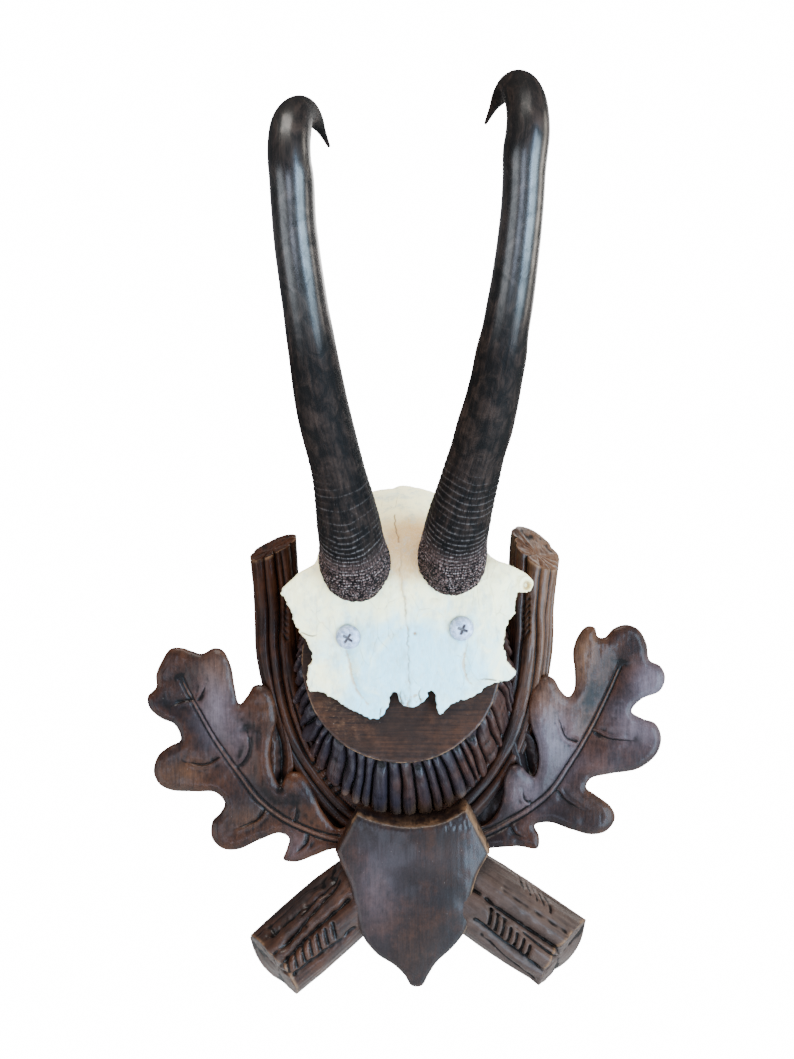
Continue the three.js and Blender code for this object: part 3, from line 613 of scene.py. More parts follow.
def leaf(leafShape):
    carve = leafCarving
    outline = smoothCurve(leafShape["outline"], 0.6, closed=True)
    rib = smoothCurve(leafShape["rib"], 0.6)
    veins = [smoothCurve(v, 0.5) for v in leafShape["veins"]]
    seed = leafShape["seed"]

    def front(flat, reach):
        toRib, share, _ = nearest(flat, rib)
        spots = atWall(flat)
        z = carve["standsOff"] + carve["swell"] * (1 - np.exp(-toRib / carve["swellWidth"]))
        z = z + 0.75 * noise(spots, 24, seed) + 0.42 * noise(spots, 9, seed + 4)
        z = z + 0.10 * rough(spots, 3.5, seed + 1) + 0.05 * noise(spots, (0.9, 5, 1), seed)
        z = z - 1.3 * between(reach, 5, 0) ** 2
        width = carve["ribWidth"] * (1.35 - 0.75 * share)
        z = z + carve["ribHeight"] * (1.15 - 0.5 * share) * bump(toRib, width)
        z = z - carve["grooveDepth"] * (1.1 - 0.4 * share) * bump(toRib - width * 1.6, carve["grooveWidth"])
        for vein in veins:
            d, t, turn = nearest(flat, vein)
            strength = between(t, 1.0, 0.5) * between(t, -0.02, 0.1) + 0.12
            fade = np.where((t <= 0.001) | (t >= 0.999), bump(d, 0.8), 1)
            z = z - carve["veinDepth"] * strength * fade * bump(d, carve["veinWidth"])
            z = z + 0.4 * strength * fade * turn * bump(d - 0.9, 0.9)
            z = z - carve["valleyDepth"] * bump(d, carve["valleyWidth"]) * between(toRib, 1, 6)
        return z

    def back(flat):
        return np.clip((np.abs(flat[:, 0]) - carve["reliefFrom"]) * 0.6, 0.4, carve["reliefMost"])

    rows = [(rib, (-2.6, -2.0, -1.5, -1.15, -0.85, -0.45, 0, 0.45, 0.85, 1.15, 1.5, 2.0, 2.6), 2.9)]
    rows += [(v, (-1.3, -0.85, -0.5, -0.25, 0, 0.25, 0.5, 0.85, 1.3), 1.5) for v in veins]
    points, faces = plate(outline, carve["spacing"], carve["edge"], front, back, 7, rows, carve["undercut"],
                          (0.3, (2.5, 2.5, 6)), seed)
    isFront = points[:, 2] > 12
    toRib = nearest(points[:, :2], rib)[0]
    marks = {key: spotShares(points, leafShape[key]) * isFront for key in ("lit", "paintedSheen", "shade")}
    # painted highlight along the rib's crest
    marks["lit"] = np.clip(marks["lit"] + 0.5 * bump(toRib, 0.35) * isFront, 0, 1)
    return makePiece(leafShape["name"], points, faces, woods["leaf"], "carved_plaque",
                     marks=marks, rounds=24)


leaf(leftLeaf)
leaf(rightLeaf)

# small lobes that curl down between each leaf and its branch
leafFolds = {
    "foldLeft": {
        "outline": [(-59.5, -20), (-56.5, -25), (-54, -32), (-52, -38), (-50.5, -45), (-50.3, -51),
                    (-52.5, -56.5), (-56.5, -60), (-60, -55), (-61, -46), (-60.5, -38), (-60.5, -28)],
        "spine": [(-58.5, -26), (-56.5, -36), (-55.5, -45), (-55.8, -56)], "height": 13.2, "seed": 5},
    "foldRight": {
        "outline": [(47, -35), (51, -33), (55, -36), (58, -42), (58.5, -49), (56, -55),
                    (51.5, -53), (48, -48),
                    (46, -41)],
        "spine": [(50, -36), (52.5, -43), (54.5, -52)], "height": 13.0, "seed": 9},
}


def leafFold(name, shape):
    outline = smoothCurve(shape["outline"], 0.45, closed=True)
    spine = smoothCurve(shape["spine"], 0.45)

    def front(flat, reach):
        toSpine, share, _ = nearest(flat, spine)
        spots = atWall(flat)
        z = shape["height"] + 2.2 * between(toSpine, 0.2, 3.6) - 1.2 * share
        return z + 0.35 * rough(spots, 4, shape["seed"]) - 0.7 * bump(toSpine, 0.5)

    def back(flat):
        return np.full(len(flat), 2.0)

    points, faces = plate(outline, 0.45, 0.7, front, back, 6, undercut=0.6, seed=shape["seed"])
    # painted shade over the whole fold
    return makePiece(name, points, faces, woods["leaf"], "carved_plaque",
                     marks={"shade": np.full(len(points), 0.35)}, rounds=16)


for name, shape in leafFolds.items():
    leafFold(name, shape)
print("leaves done")


# branches

# line is a list of (x, y, z, radius); cuts are (point, way it faces, whether it cuts the start)
branches = {
    "branchLeft": {
        "weathered": 0.8, "lit": 0.0, "wood": "branchDark",
        "line": [(-60.5, 62, 11.5, 11.3), (-59.5, 47, 11.5, 11.3), (-57.7, 22, 11.5, 10.6),
                 (-57, 0, 10.5, 10.6), (-53, -25, 7.5, 9.5), (-44, -48, 6.5, 9), (-30, -66, 6, 9.5),
                 (0, -87, 6, 12), (31, -107.5, 11.5, 16.8), (67, -131.5, 11.5, 17), (88, -145.5, 11.5, 17)],
        "cuts": [((-60, 47, 11.5), (-0.35, 0.88, 0.3), True),
                 ((68.3, -134.8, 12), (0.72, -0.48, 0.5), False)],
        "seed": 11},
    "branchRight": {
        "weathered": 0.15, "lit": 0.9, "wood": "branch",
        "line": [(60.5, 66, 11.5, 12), (58, 50, 11.5, 12), (55.5, 22, 11.5, 10.5), (55, 0, 10.5, 10.3),
                 (51, -25, 7.5, 9.5), (43, -47, 6.5, 9), (29, -66, 6, 9.5), (0, -88, 6, 12),
                 (-30, -113, 11.5, 16.3), (-59, -138.7, 11.5, 16.5), (-77, -154.5, 11.5, 16.5)],
        "cuts": [((58, 46.5, 11.5), (0.4, 0.75, 0.52), True),
                 ((-58.3, -139.6, 12), (-0.69, -0.53, 0.5), False)],
        "seed": 23},
}
bark = {
    "flutes": 12, "slitDepth": 1.6, "slitWidth": 0.72, "roundDepth": 1.15, "roundWidth": 2.3,
    "wander": 0.13,
    # rows of short cuts: from, to, how many, the way each runs, length, depth
    "rows": [((-53, 26), (-53, 9), 7, (-0.5, 0.86), 4.5, 0.7),
             ((51.5, 23), (51.5, 9), 6, (0.5, 0.86), 4.5, 0.9),
             ((-39, -47), (-29, -61), 5, (0.81, 0.58), 4.6, 1.4),
             ((-31, -116.5), (-51, -131.5), 7, (0.24, -0.97), 6.8, 1.7),
             ((-34, -91), (-48, -102.5), 5, (-0.45, -0.9), 5, 0.9),
             ((35.5, -110.5), (51.5, -125.5), 7, (-0.25, -0.97), 6.6, 2.0),
             ((51, -99.5), (62.5, -108.5), 5, (0.3, -0.95), 4, 0.8)],
    # long hand-cut grooves on the lower logs: points, depth, width
    "lines": [([(-62.2, -122.2), (-47, -108), (-31.6, -94.4)], 2.4, 1.0),
              ([(-55.5, -125.5), (-46, -114.5), (-37.1, -104.5), (-28.9, -96.4)], 2.5, 0.85),
              ([(-55, -133), (-41.8, -118.1), (-24, -103)], 3.0, 1.1),
              ([(-49.5, -137.5), (-44.5, -133), (-34, -125.5), (-21, -115.5)], 1.7, 0.9),
              ([(-48, -112), (-40, -103), (-32, -97.5)], 1.3, 0.6),
              ([(-59, -128), (-50, -119.5), (-43, -114)], 1.1, 0.6),
              ([(23, -95), (45, -110.3), (66.5, -125)], 3.0, 1.1),
              ([(34, -105.5), (50, -117), (63.5, -128)], 1.2, 0.5),
              ([(27, -110), (42, -123), (62, -139)], 2.5, 1.0),
              ([(30, -117), (41, -128), (56, -141)], 1.0, 0.6),
              ([(40, -99), (56, -109.5), (70, -119)], 0.7, 0.7)],
}


def handCuts(spots):
    flat = spots[:, :2]
    deep = np.zeros(len(flat))
    for start, end, count, way, length, depth in bark["rows"]:
        for k in range(count):
            middle = np.array(start) + (np.array(end) - np.array(start)) * k / (count - 1)
            reach = np.array(way) * length / 2
            d, _, _ = nearest(flat, [middle - reach, middle + reach])
            deep = np.maximum(deep, depth * (1.15 * bump(d, 0.95) - 0.2 * bump(d - 1.6, 0.7)))
    for line, depth, width in bark["lines"]:
        d, t, _ = nearest(flat, smoothCurve(line, 1.5))
        ends = between(t, 0, 0.08) * between(t, 1.04, 0.93)
        deep = deep + depth * ends * (0.85 * bump(d, width * 1.2) + 0.6 * bump(d, width * 3.2))
    return deep


def branch(name, shape):
    line = smoothCurve(shape["line"], 0.72)
    seed = shape["seed"]
    frontAngles = np.linspace(-0.15 * math.pi, 1.15 * math.pi, 152)
    backAngles = np.linspace(1.15 * math.pi, 1.85 * math.pi, 12)[1:-1]
    angles = np.concatenate([frontAngles, backAngles])
    flutes = bark["flutes"]
    random = np.random.default_rng(seed)
    middles = (np.arange(flutes) + random.uniform(-0.3, 0.3, flutes)) * 2 * math.pi / flutes
    depths = random.uniform(0.6, 1.2, flutes)

    def section(s, angle, radius, place):
        cut = np.zeros(s.shape)
        for k, (middle, depth) in enumerate(zip(middles, depths)):
            lane = stacked(s, 40.0 * k, 0.0)
            wander = bark["wander"] * noise(lane, 34, seed + k) + 0.03 * noise(lane, 8, seed + k)
            off = np.angle(np.exp(1j * (angle - middle - wander))) * radius
            strength = depth * np.clip(0.75 + 0.6 * noise(lane, 30, seed + 50 + k), 0.15, 1.3)
            cut = cut + strength * (bark["slitDepth"] * bump(off, bark["slitWidth"] * (radius / 11) ** 0.5)
                                    + bark["roundDepth"] * bump(off, bark["roundWidth"] * (radius / 11)))
        onLog = between(-place[..., 1], 84, 92)
        cut = cut * (1 - 0.78 * onLog)
        x, y = radius * np.cos(angle), radius * np.sin(angle)
        swell = 0.4 * noise(stacked(x, y, s * 0.3), 6.5, seed)
        fibre = 0.12 * rough(stacked(x, y, s * 0.12), 1.3, seed + 5)
        facet = 0.8 * noise(stacked(x, y, s * 0.15), 5.0, seed + 15) * onLog
        deep = handCuts(place.reshape(-1, 3)).reshape(s.shape) * between(place[..., 2], 9, 14)
        return radius - cut + swell + fibre + facet - deep * (0.85 + 0.3 * noise(place, 3, seed + 7))

    points, run = sweep(line[:, :3], line[:, 3], angles, section, shape["cuts"])
    points[..., 2] = np.maximum(points[..., 2], 0.3)
    rows, columns = points.shape[:2]
    grid, runs = points.reshape(-1, 3), run.reshape(-1, 3)
    fromEnd = np.minimum(run[..., 2] - run[0][None, :, 2], run[-1][None, :, 2] - run[..., 2])
    chips = bump(fromEnd, 0.8) * 0.95 * between(noise(points, 5, seed + 21), -0.25, 0.35)
    allPoints, allRuns, allChips, faces = [grid], [runs], [chips.ravel()], [gridFaces(rows, columns)]
    # sawn end faces, a little rounded at the edge and rough
    start = len(grid)
    for row, isStart in ((0, True), (rows - 1, False)):
        edgeLoop = points[row]
        middle = edgeLoop.mean(0)
        facing = np.array(shape["cuts"][0 if isStart else 1][1])
        facing = facing / np.linalg.norm(facing)
        rings = []
        shares = [0.985, 0.955, 0.92, 0.87] + list(np.linspace(0.81, 0.06, 16))
        for share in shares:
            ring = middle + (edgeLoop - middle) * share
            saw = 0.24 * rough(ring, (2.2, 2.2, 4), seed + 3) * between(share, 1, 0.9)
            rings.append(ring + facing * (0.35 * between(share, 1.02, 0.93) + saw)[:, None])
        rings = np.array(rings).reshape(-1, 3)
        chipped = between(noise(rings, 4, seed + 22), -0.3, 0.3)
        edgeChip = bump(1 - np.repeat(shares, columns), 0.05) * chipped
        allPoints.append(rings)
        allRuns.append(np.column_stack([rings[:, 0], rings[:, 1] * 0.3, rings[:, 2]]))
        # the lit branch's sawn ends get some painted light through the pale chip colour
        allChips.append(shape["lit"] * 0.08 + 0.7 * edgeChip)
        loop = np.concatenate([[row * columns + np.arange(columns)],
                               start + np.arange(len(shares) * columns).reshape(len(shares), columns)])
        ahead = np.roll(loop, -1, 1)
        quads = np.stack([loop[:-1], ahead[:-1], ahead[1:], loop[1:]], -1).reshape(-1, 4)
        faces.append(quads[:, ::-1] if isStart else quads)
        start += len(rings)
        hub = rings[-columns:].mean(0)[None]
        allPoints.append(hub)
        allRuns.append(hub)
        allChips.append([0.1])
        fan = fanFaces(loop[-1], start)
        faces.append(fan[:, ::-1] if isStart else fan)
        start += 1
    points = np.concatenate(allPoints)
    # painted light where the window falls on the right branch
    lit = shape["lit"] * between(points[:, 0], 47, 60) * between(points[:, 1], -40, -10)
    marks = {"chip": np.concatenate([np.ravel(c) for c in allChips]), "lit": lit,
             "weathered": shape["weathered"] * between(-points[:, 1], 84, 92)}
    return makePiece(name, points, faces, woods[shape["wood"]], "carved_plaque",
                     np.concatenate(allRuns), marks, rounds=20)


for name, shape in branches.items():
    branch(name, shape)
print("branches done")


# round boss

bossShape = {
    "middle": (-2.5, 0), "radius": 42, "standsOff": 30, "tiltDeg": 10, "wall": 2.8,
    "foot": (-1, -12.5), "footHalfWidth": 48, "footHalfHeight": 59, "footStandsOff": 12,
    "fingers": 54, "fingerDepth": 3.1, "twist": 0.12, "seed": 41,
}


def bossPlane(y):
    slope = math.tan(math.radians(bossShape["tiltDeg"]))
    return bossShape["standsOff"] - slope * (y - bossShape["middle"][1])


def boss():
    b = bossShape
    columns = 900
    angle = np.linspace(0, 2 * math.pi, columns, endpoint=False)[None]
    c, s = np.cos(angle), np.sin(angle)
    circle = stacked(c * 30, s * 30, 0.0)
    rim = b["radius"] + 0.4 * noise(circle, 9, b["seed"]) + 0.10 * noise(circle, 0.8, b["seed"] + 3)
    # the smooth face
    faceShares = np.concatenate([[0.02], np.linspace(0.1, 0.95, 19), [0.97, 0.985, 0.995, 1.0]])[:, None]
    x = b["middle"][0] + rim * faceShares * c
    y = b["middle"][1] + rim * faceShares * s
    spots = stacked(x, y, 0.0)
    z = bossPlane(y) + 0.22 * rough(spots, 9, 5) - 0.45 * between(faceShares, 0.985, 1.0) ** 2
    face = stacked(x, y, z)
    # its edge
    wallShares = np.array([0.12, 0.35, 0.6, 0.85, 1.0])[:, None]
    wallRim = rim - 0.5 * wallShares
    wallX, wallY = b["middle"][0] + wallRim * c, b["middle"][1] + wallRim * s
    wall = stacked(wallX, wallY, bossPlane(wallY) - 0.45 - b["wall"] * wallShares)
    # the bark falling away all round in rounded fingers
    shares = np.linspace(0, 1, 38)[1:, None]
    top = stacked(b["middle"][0] + (rim - 0.4) * c, b["middle"][1] + (rim - 0.4) * s)
    foot = stacked(b["foot"][0] + b["footHalfWidth"] * c, b["foot"][1] + b["footHalfHeight"] * s)
    outShare = shares ** 1.1
    flat = top * (1 - outShare[..., None]) + foot * outShare[..., None]
    drop = shares ** 0.8
    topZ = bossPlane(top[..., 1]) - b["wall"] - 0.45
    z = topZ * (1 - drop) + b["footStandsOff"] * drop
    turn = angle + b["twist"] * (shares - 0.3) * np.sin(angle * 2 + 0.6)
    lane = stacked(np.cos(turn) * b["radius"], np.sin(turn) * b["radius"], shares * 9)
    phase = turn * b["fingers"] / (2 * math.pi) + noise(lane, (11, 11, 20), 42) + 0.34 * noise(lane, 4.0, 43)
    number = np.floor(phase)
    inFinger = phase - number
    odd = stacked(number, 0, 0).astype(np.int64)
    tall = 0.62 + 0.6 * cellValue(odd, 44)
    begins = 0.02 + 0.2 * cellValue(odd, 48) ** 2
    rounded = np.clip(np.sin(math.pi * inFinger), 0, 1) ** 0.62
    gap = bump(np.minimum(inFinger, 1 - inFinger), 0.10)
    fadeIn = between(shares, begins - 0.02, begins + 0.09)
    lift = b["fingerDepth"] * (tall * (rounded - 0.25) * fadeIn - 0.6 * gap * between(shares, 0, 0.06))
    lift = lift + 0.34 * rough(lane, (1.5, 1.5, 4), 45) + 0.6 * np.sin(math.pi * shares) * fadeIn
    lift = lift + 0.38 * noise(stacked(number * 7, shares * 26, 0.0), 2.6, 47) * fadeIn
    direction = stacked(c * 0.66, s * 0.66, 0.75)
    skirt = np.concatenate([flat, z[..., None]], -1) + direction * lift[..., None]
    floor = skirt[-1:].copy()
    floor[..., 2] = 2.0
    grid = np.concatenate([face, wall, skirt, floor])
    rows, faceRows = len(grid), len(face)
    chips = np.zeros((rows, columns))
    nibbled = between(noise(circle, (3, 3, 1), 49) + 0.6 * noise(circle, 0.7, 50), -0.2, 0.6)[0]
    chips[faceRows - 2:faceRows + 1] = 0.8 * nibbled
    # scratches where the bone was fitted
    scratched = bump((grid[..., 0] + 27) / 11, 1) * bump((grid[..., 1] + 21) / 13, 1)
    scratched = scratched * (np.arange(rows) < faceRows)[:, None]
    crust = between(-grid[..., 1], 56, 68) * between(grid[..., 2], 19, 12)
    chips = np.maximum(chips, 0.6 * crust)
    points = grid.reshape(-1, 3)
    hub = points[:columns].mean(0)[None]
    faces = [gridFaces(rows, columns)[:, ::-1], fanFaces(np.arange(columns), len(points))]
    around = np.broadcast_to(angle, (rows, columns))
    along = np.concatenate([np.zeros(faceRows + len(wall)), shares[:, 0] * 22, [26]])[:, None]
    onFace = (np.arange(rows) < faceRows)[:, None]
    barkRun = stacked(46 * np.cos(around), 46 * np.sin(around), along)
    run = np.where(onFace[..., None], grid[..., [1, 2, 0]], barkRun).reshape(-1, 3)
    points, run = np.concatenate([points, hub]), np.concatenate([run, hub[:, [1, 2, 0]]])
    onBark = np.broadcast_to((np.arange(rows) >= faceRows)[:, None] * 0.75, (rows, columns))
    # painted light on the face; painted cool sheen and painted sheen on the bark
    marks = {"chip": chips, "scratched": scratched, "paintedCoolLightShare": onBark, "lit": 0.16 * (onBark == 0),
             "paintedSheen": 0.14 * onBark}
    marks = {key: np.append(value, 0) for key, value in marks.items()}
    return makePiece("boss", points, faces, woods["boss"], "carved_plaque", run, marks)


boss()
print("boss done")


# shield

shieldShape = {
    "outline": [
        (-21.5, -67), (-14, -69.5), (-5, -71), (6, -71.2), (16, -69.5), (25.5, -65), (29.2, -72.1),
        (35.6, -84.4), (30.7, -92.2), (27.3, -102.5), (26.1, -114.7), (19.5, -124), (12.6, -130.3),
        (9.2, -135.7), (6.3, -140.6), (1.9, -140.6), (-1.1, -135.7), (-5.5, -131.3), (-12.8, -126.9),
        (-19.2, -119.1), (-22.1, -108.3), (-24.5, -97.6), (-28, -90.2), (-30.9, -83.9), (-25.5, -74.1)],
    "corners": [0, 5, 7, 23],
    "standsOff": 24, "dome": 5, "halfWidth": 34, "halfHeight": 60, "middle": (3, -96),
    "edge": 0.9, "bevel": 1.6, "spacing": 0.6, "seed": 61,
    # painted sheen, painted light and painted shade on the face, in that order: middle, half sizes, strength
    "paintedSheen": [((-14, -99), (9, 18), 0.34), ((3, -84), (18, 6), 0.08)],
    "lit": [((14, -82), (10, 10), 0.14), ((3, -125), (9, 9), 0.12)],
    "shade": [((6, -77), (20, 7), 0.5), ((19, -100), (8, 16), 0.4)],
}


def shield():
    sh = shieldShape
    outline = corneredOutline(sh["outline"], sh["corners"], 0.55)

    def front(flat, reach):
        x, y = flat.T
        outX, outY = (x - sh["middle"][0]) / sh["halfWidth"], (y - sh["middle"][1]) / sh["halfHeight"]
        out = np.minimum(1, np.hypot(outX, outY))
        spots = atWall(flat)
        z = sh["standsOff"] + sh["dome"] * (1 - out ** 2)
        z = z + 0.35 * rough(spots, 16, sh["seed"]) + 0.025 * noise(spots, (0.8, 14, 1), sh["seed"] + 1)
        z = z + 0.25 * between(-y, 75, 71) * rough(spots, (0.9, 2.5, 1), sh["seed"] + 2)
        return z - 0.5 * between(reach, 2.2, 0)

    def back(flat):
        return np.full(len(flat), 1.0)

    flare = 0.7 + sh["bevel"] * between(outline[:, 0], 22, 26) * between(-outline[:, 1], 128, 118)
    points, faces = plate(outline, sh["spacing"], sh["edge"], front, back, 22, (), -flare[:, None],
                          (0.32, (1.3, 1.3, 7)), sh["seed"])
    x, y, z = points.T
    reach, _, _ = nearest(points[:, :2], outline, closed=True)
    patchy = between(noise(points, 3, 62) + 0.5 * noise(points, 0.9, 63), -0.5, 0.7)
    rightSide = between(x, 22, 26) * between(-y, 128, 120)
    topSide = between(-y, 76, 71.5)
    onRim = bump(reach, 0.55) * between(z, 22, 24.5)
    onWall = between(z, 24.8, 23.5) * between(z, 13, 20) * bump(reach, 3)
    # the pale right-hand bevel is partly worn bare wood and partly painted light from the right
    chip = onRim * (0.8 * rightSide + 0.5 * topSide * patchy + 0.1)
    chip = chip + onWall * (0.8 * rightSide + 0.25 * topSide * patchy)
    onFace = points[:, 2] > 20
    marks = {key: spotShares(points, sh[key]) * onFace for key in ("paintedSheen", "lit", "shade")}
    marks["chip"] = np.clip(chip, 0, 1)
    return makePiece("shield", points, faces, woods["shield"], "carved_plaque", marks=marks,
                     rounds=10)


shield()
print("shield done")


# board behind everything

boardShape = {
    "outline": [(-56, 30), (-30, 36), (0, 40), (28, 37), (54, 30), (60, -10), (62, -46),
                (50, -72), (28, -92),
                (-24, -92), (-46, -74), (-62, -50), (-62, -12)],
    "thickness": 10.4, "seed": 71,
    "hole": (0, 26), "holeRadius": 4.0, "holeDepth": 9.0,      # a nail's hole in the back
}


def board():
    outline = smoothCurve(boardShape["outline"], 2.0, closed=True)

    def front(flat, reach):
        spots = atWall(flat)
        return boardShape["thickness"] + 0.5 * rough(spots, (3, 8, 1), boardShape["seed"])

    def back(flat):
        fromHole = np.linalg.norm(flat - boardShape["hole"], axis=1)
        return boardShape["holeDepth"] * (fromHole < boardShape["holeRadius"] * 0.98)

    angle = np.linspace(0, 2 * math.pi, 36, endpoint=False)
    circle = boardShape["holeRadius"] * stacked(np.cos(angle), np.sin(angle))
    shares = (1.25, 1.06, 1.0, 0.96, 0.8, 0.4)
    holeSpots = np.concatenate([boardShape["hole"] + circle * share for share in shares])
    points, faces = plate(outline, 1.6, 1.0, front, back, 4, seed=boardShape["seed"], backSpots=holeSpots)
    # the back is paler bare wood, the board's own colour, given with the lit colour
    return makePiece("board", points, faces, woods["board"], "carved_plaque",
                     marks={"lit": 0.45 * (points[:, 2] < 0.5)}, rounds=6)


board()


# skull plate

boneLook = {
    # cool: the bone's bluish tint, which on the lower half is painted cool light
    "cool": (0.30, 0.64, 0.74),
    "cream": (0.96, 0.90, 0.50),
    "fibre": (0.96, 0.96, 0.92),
    "blotch": (0.30, 0.42, 0.42),
    "tan": (0.44, 0.215, 0.045),
    "brown": (0.22, 0.13, 0.055),
    "crack": (0.07, 0.045, 0.025),
    "glow": 0.06, "glowReach": (0.004, 0.003, 0.002),      # how much light goes in, and how far in metres
    "shine": 0.42,
    "bumpStep": 0.00032,
}


def boneShader():
    s = Shade("boneDry")
    look = boneLook
    place, hollow, line = s.place(), s.value("hollow"), s.value("line")
    tanShare, paintedCoolLightShare = s.value("tan"), s.value("cool")
    cloud = s.noise(place, 0.06, 3.0, 0.55, 0.5)
    small = s.noise(place, 0.5, 4.0, 0.6)
    fibre = s.noise(place, (2.2, 2.2, 0.35), 3.0, 0.6)
    pores = s.cells(place, (0.9, 0.9, 0.7), "F1").ramp(0.13, 0.05) * small.ramp(0.54, 0.66)
    cloudy = s.noise(place, (0.11, 0.11, 0.07), 3.0, 0.6, 0.8)
    # cream turns cool in random clouds, and on the lower half as painted cool light
    colour = s.mix((cloudy * 1.3 - 0.75 + paintedCoolLightShare).ramp(0.0, 0.9), look["cream"], look["cool"])
    # tan from the marks: yellowed bone, and painted shade near the horns
    tanned = (tanShare + (cloud - 0.5) * 0.55 + (small - 0.5) * 0.25).ramp(0.12, 1.05)
    colour = s.mix(tanned * 0.85, colour, look["tan"])
    # painted shade, darker brown, beside the horns and in the curled rim
    stainAndShadeShare = (s.value("stainAndPaintedShade") + (small - 0.5) * 0.3).ramp(0.15, 1.1)
    colour = s.mix(stainAndShadeShare * 0.8, colour, look["brown"])
    hair = s.cells(place, (0.13, 0.13, 0.05), "DISTANCE_TO_EDGE") + (small - 0.5) * 0.02
    hairline = hair.ramp(0.009, 0.002) * cloud.ramp(0.46, 0.6)
    colour = s.mix((fibre - 0.35).ramp(0.0, 0.5) * 0.2, colour, look["fibre"])
    blotch = s.noise(place, (0.22, 0.22, 0.12), 4.0, 0.65)
    colour = s.mix(blotch.ramp(0.48, 0.7) * 0.5, colour, look["blotch"])
    colour = s.mix(hairline * 0.3, colour, look["brown"])
    colour = s.mix(line * small.ramp(0.25, 0.5), colour, look["crack"])
    # painted shade: hollows turn tan
    colour = s.mix(hollow.ramp(0.02, 0.3) * 0.6, colour, look["tan"])
    colour = s.mix(pores * 0.45, colour, look["crack"])
    roughness = 0.50 + small * 0.14 - fibre * 0.05
    height = fibre * 0.5 + small * 0.6 - hairline * 0.5 - pores * 0.6
    return s.finish(colour, roughness, height, look["bumpStep"], {
        "Subsurface Weight": look["glow"], "Subsurface Radius": look["glowReach"], "Subsurface Scale": 1.0,
        "Specular IOR Level": look["shine"]})


bone = boneShader()

skullShape = {
    "outline": [
        (-51.5, 31), (-51.8, 28), (-49.6, 25.5), (-48, 20), (-44, 12.5), (-40, 6.5), (-38.3, 4), (-40.3, -1),
        (-41.2, -9), (-40, -12.5), (-35.5, -12), (-27, -17), (-18, -22.3), (-11.6, -23.6), (-9, -20.5),
        (-6.3, -11.8), (-4.5, -11.8), (-2.8, -16.3), (2, -17.7), (6.2, -15.8), (9, -11.5), (10.8, -11.8),
        (12.2, -19), (13.6, -22), (16.5, -18.7), (20, -16), (27, -14), (34, -9), (43, -6.6), (44.8, -4),
        (41.8, 1), (39, 9), (40.8, 14), (43.6, 20), (45.3, 28.7), (50.5, 29.6), (52.2, 33), (50, 36),
        (42, 40.5), (35, 43.5), (32, 48), (29.5, 58), (22, 67.5), (11, 72.2), (3.4, 74.4), (-2, 75.2),
        (-7, 73.5), (-13, 72.8), (-23, 69.5), (-32, 60), (-36.5, 49), (-38, 41.5), (-44, 37.5)],
    "corners": [0, 6, 9, 13, 15, 22, 23, 29, 31, 34],
    # height off the wall along the middle: (y, z)
    "heights": [(-30, 38), (-20, 39.5), (-5, 42), (10, 44), (25, 45.2), (35, 44.6), (45, 41), (54, 35),
                (62, 27), (69, 17), (74, 5), (80, -8)],
    "middleX": -1.5, "halfWidth": 46, "sideFall": 5, "thickness": 3.4,
    "pedicles": [(-21, 39.5), (17.8, 42)], "pedicleRise": 2.5, "pedicleRadius": 15,
    "suture": [(-3, 47), (-2.6, 38), (-1.6, 29), (-0.4, 17), (0.2, 7), (0.9, -4), (1.0, -12), (0.6, -17)],
    "domeSuture": [(-5.4, 61), (-4.7, 56), (-3.8, 50)],
    "cracks": [[(-11.6, -23.4), (-11.2, -20.5), (-10.4, -17.5)], [(40, -8), (33, -6.5), (28, -6.8)],
               [(-44, 13), (-39, 11.5), (-36, 12.5)], [(5.5, -16), (4.8, -12.5), (5.4, -9)],
               [(-2.2, -16.5), (-2.9, -13), (-2.4, -10)]],
    "grooves": [[(-25.5, 8), (-23.3, 1), (-22.1, -6), (-19.5, -12), (-15.5, -17.5)],
                [(24.8, 9), (23.4, 2), (24.4, -5), (27, -9)]],
    "foramen": (2.9, 12.8), "curl": (49.3, 31.8), "seed": 81,
}


def skullHeight(x, y):
    k = skullShape
    ys, zs = np.array(k["heights"], float).T
    middle = np.interp(y, ys, zs)
    soften = sum(np.interp(y + d, ys, zs) for d in (-4, -2, 2, 4)) / 4
    side = np.abs(x - k["middleX"])
    onFace = k["sideFall"] * (side / k["halfWidth"]) ** 2.4
    onCase = 14 * (side / 32) ** 2
    caseShare = between(y, 40, 62)
    rise = sum(k["pedicleRise"] * np.exp(-((x - px) ** 2 + (y - py) ** 2) / k["pedicleRadius"] ** 2)
               for px, py in k["pedicles"])
    return (middle + soften) / 2 - (onFace * (1 - caseShare) + onCase * caseShare) + rise


def jagged(points, spacing, amount, size, seed):
    # a line that zigzags a little from side to side, as a suture does
    line = smoothCurve(points, spacing)
    along = stacked(line[:, 1], 0.0, 0.0)
    line[:, 0] += amount * rough(along, size, seed, 2)
    return line


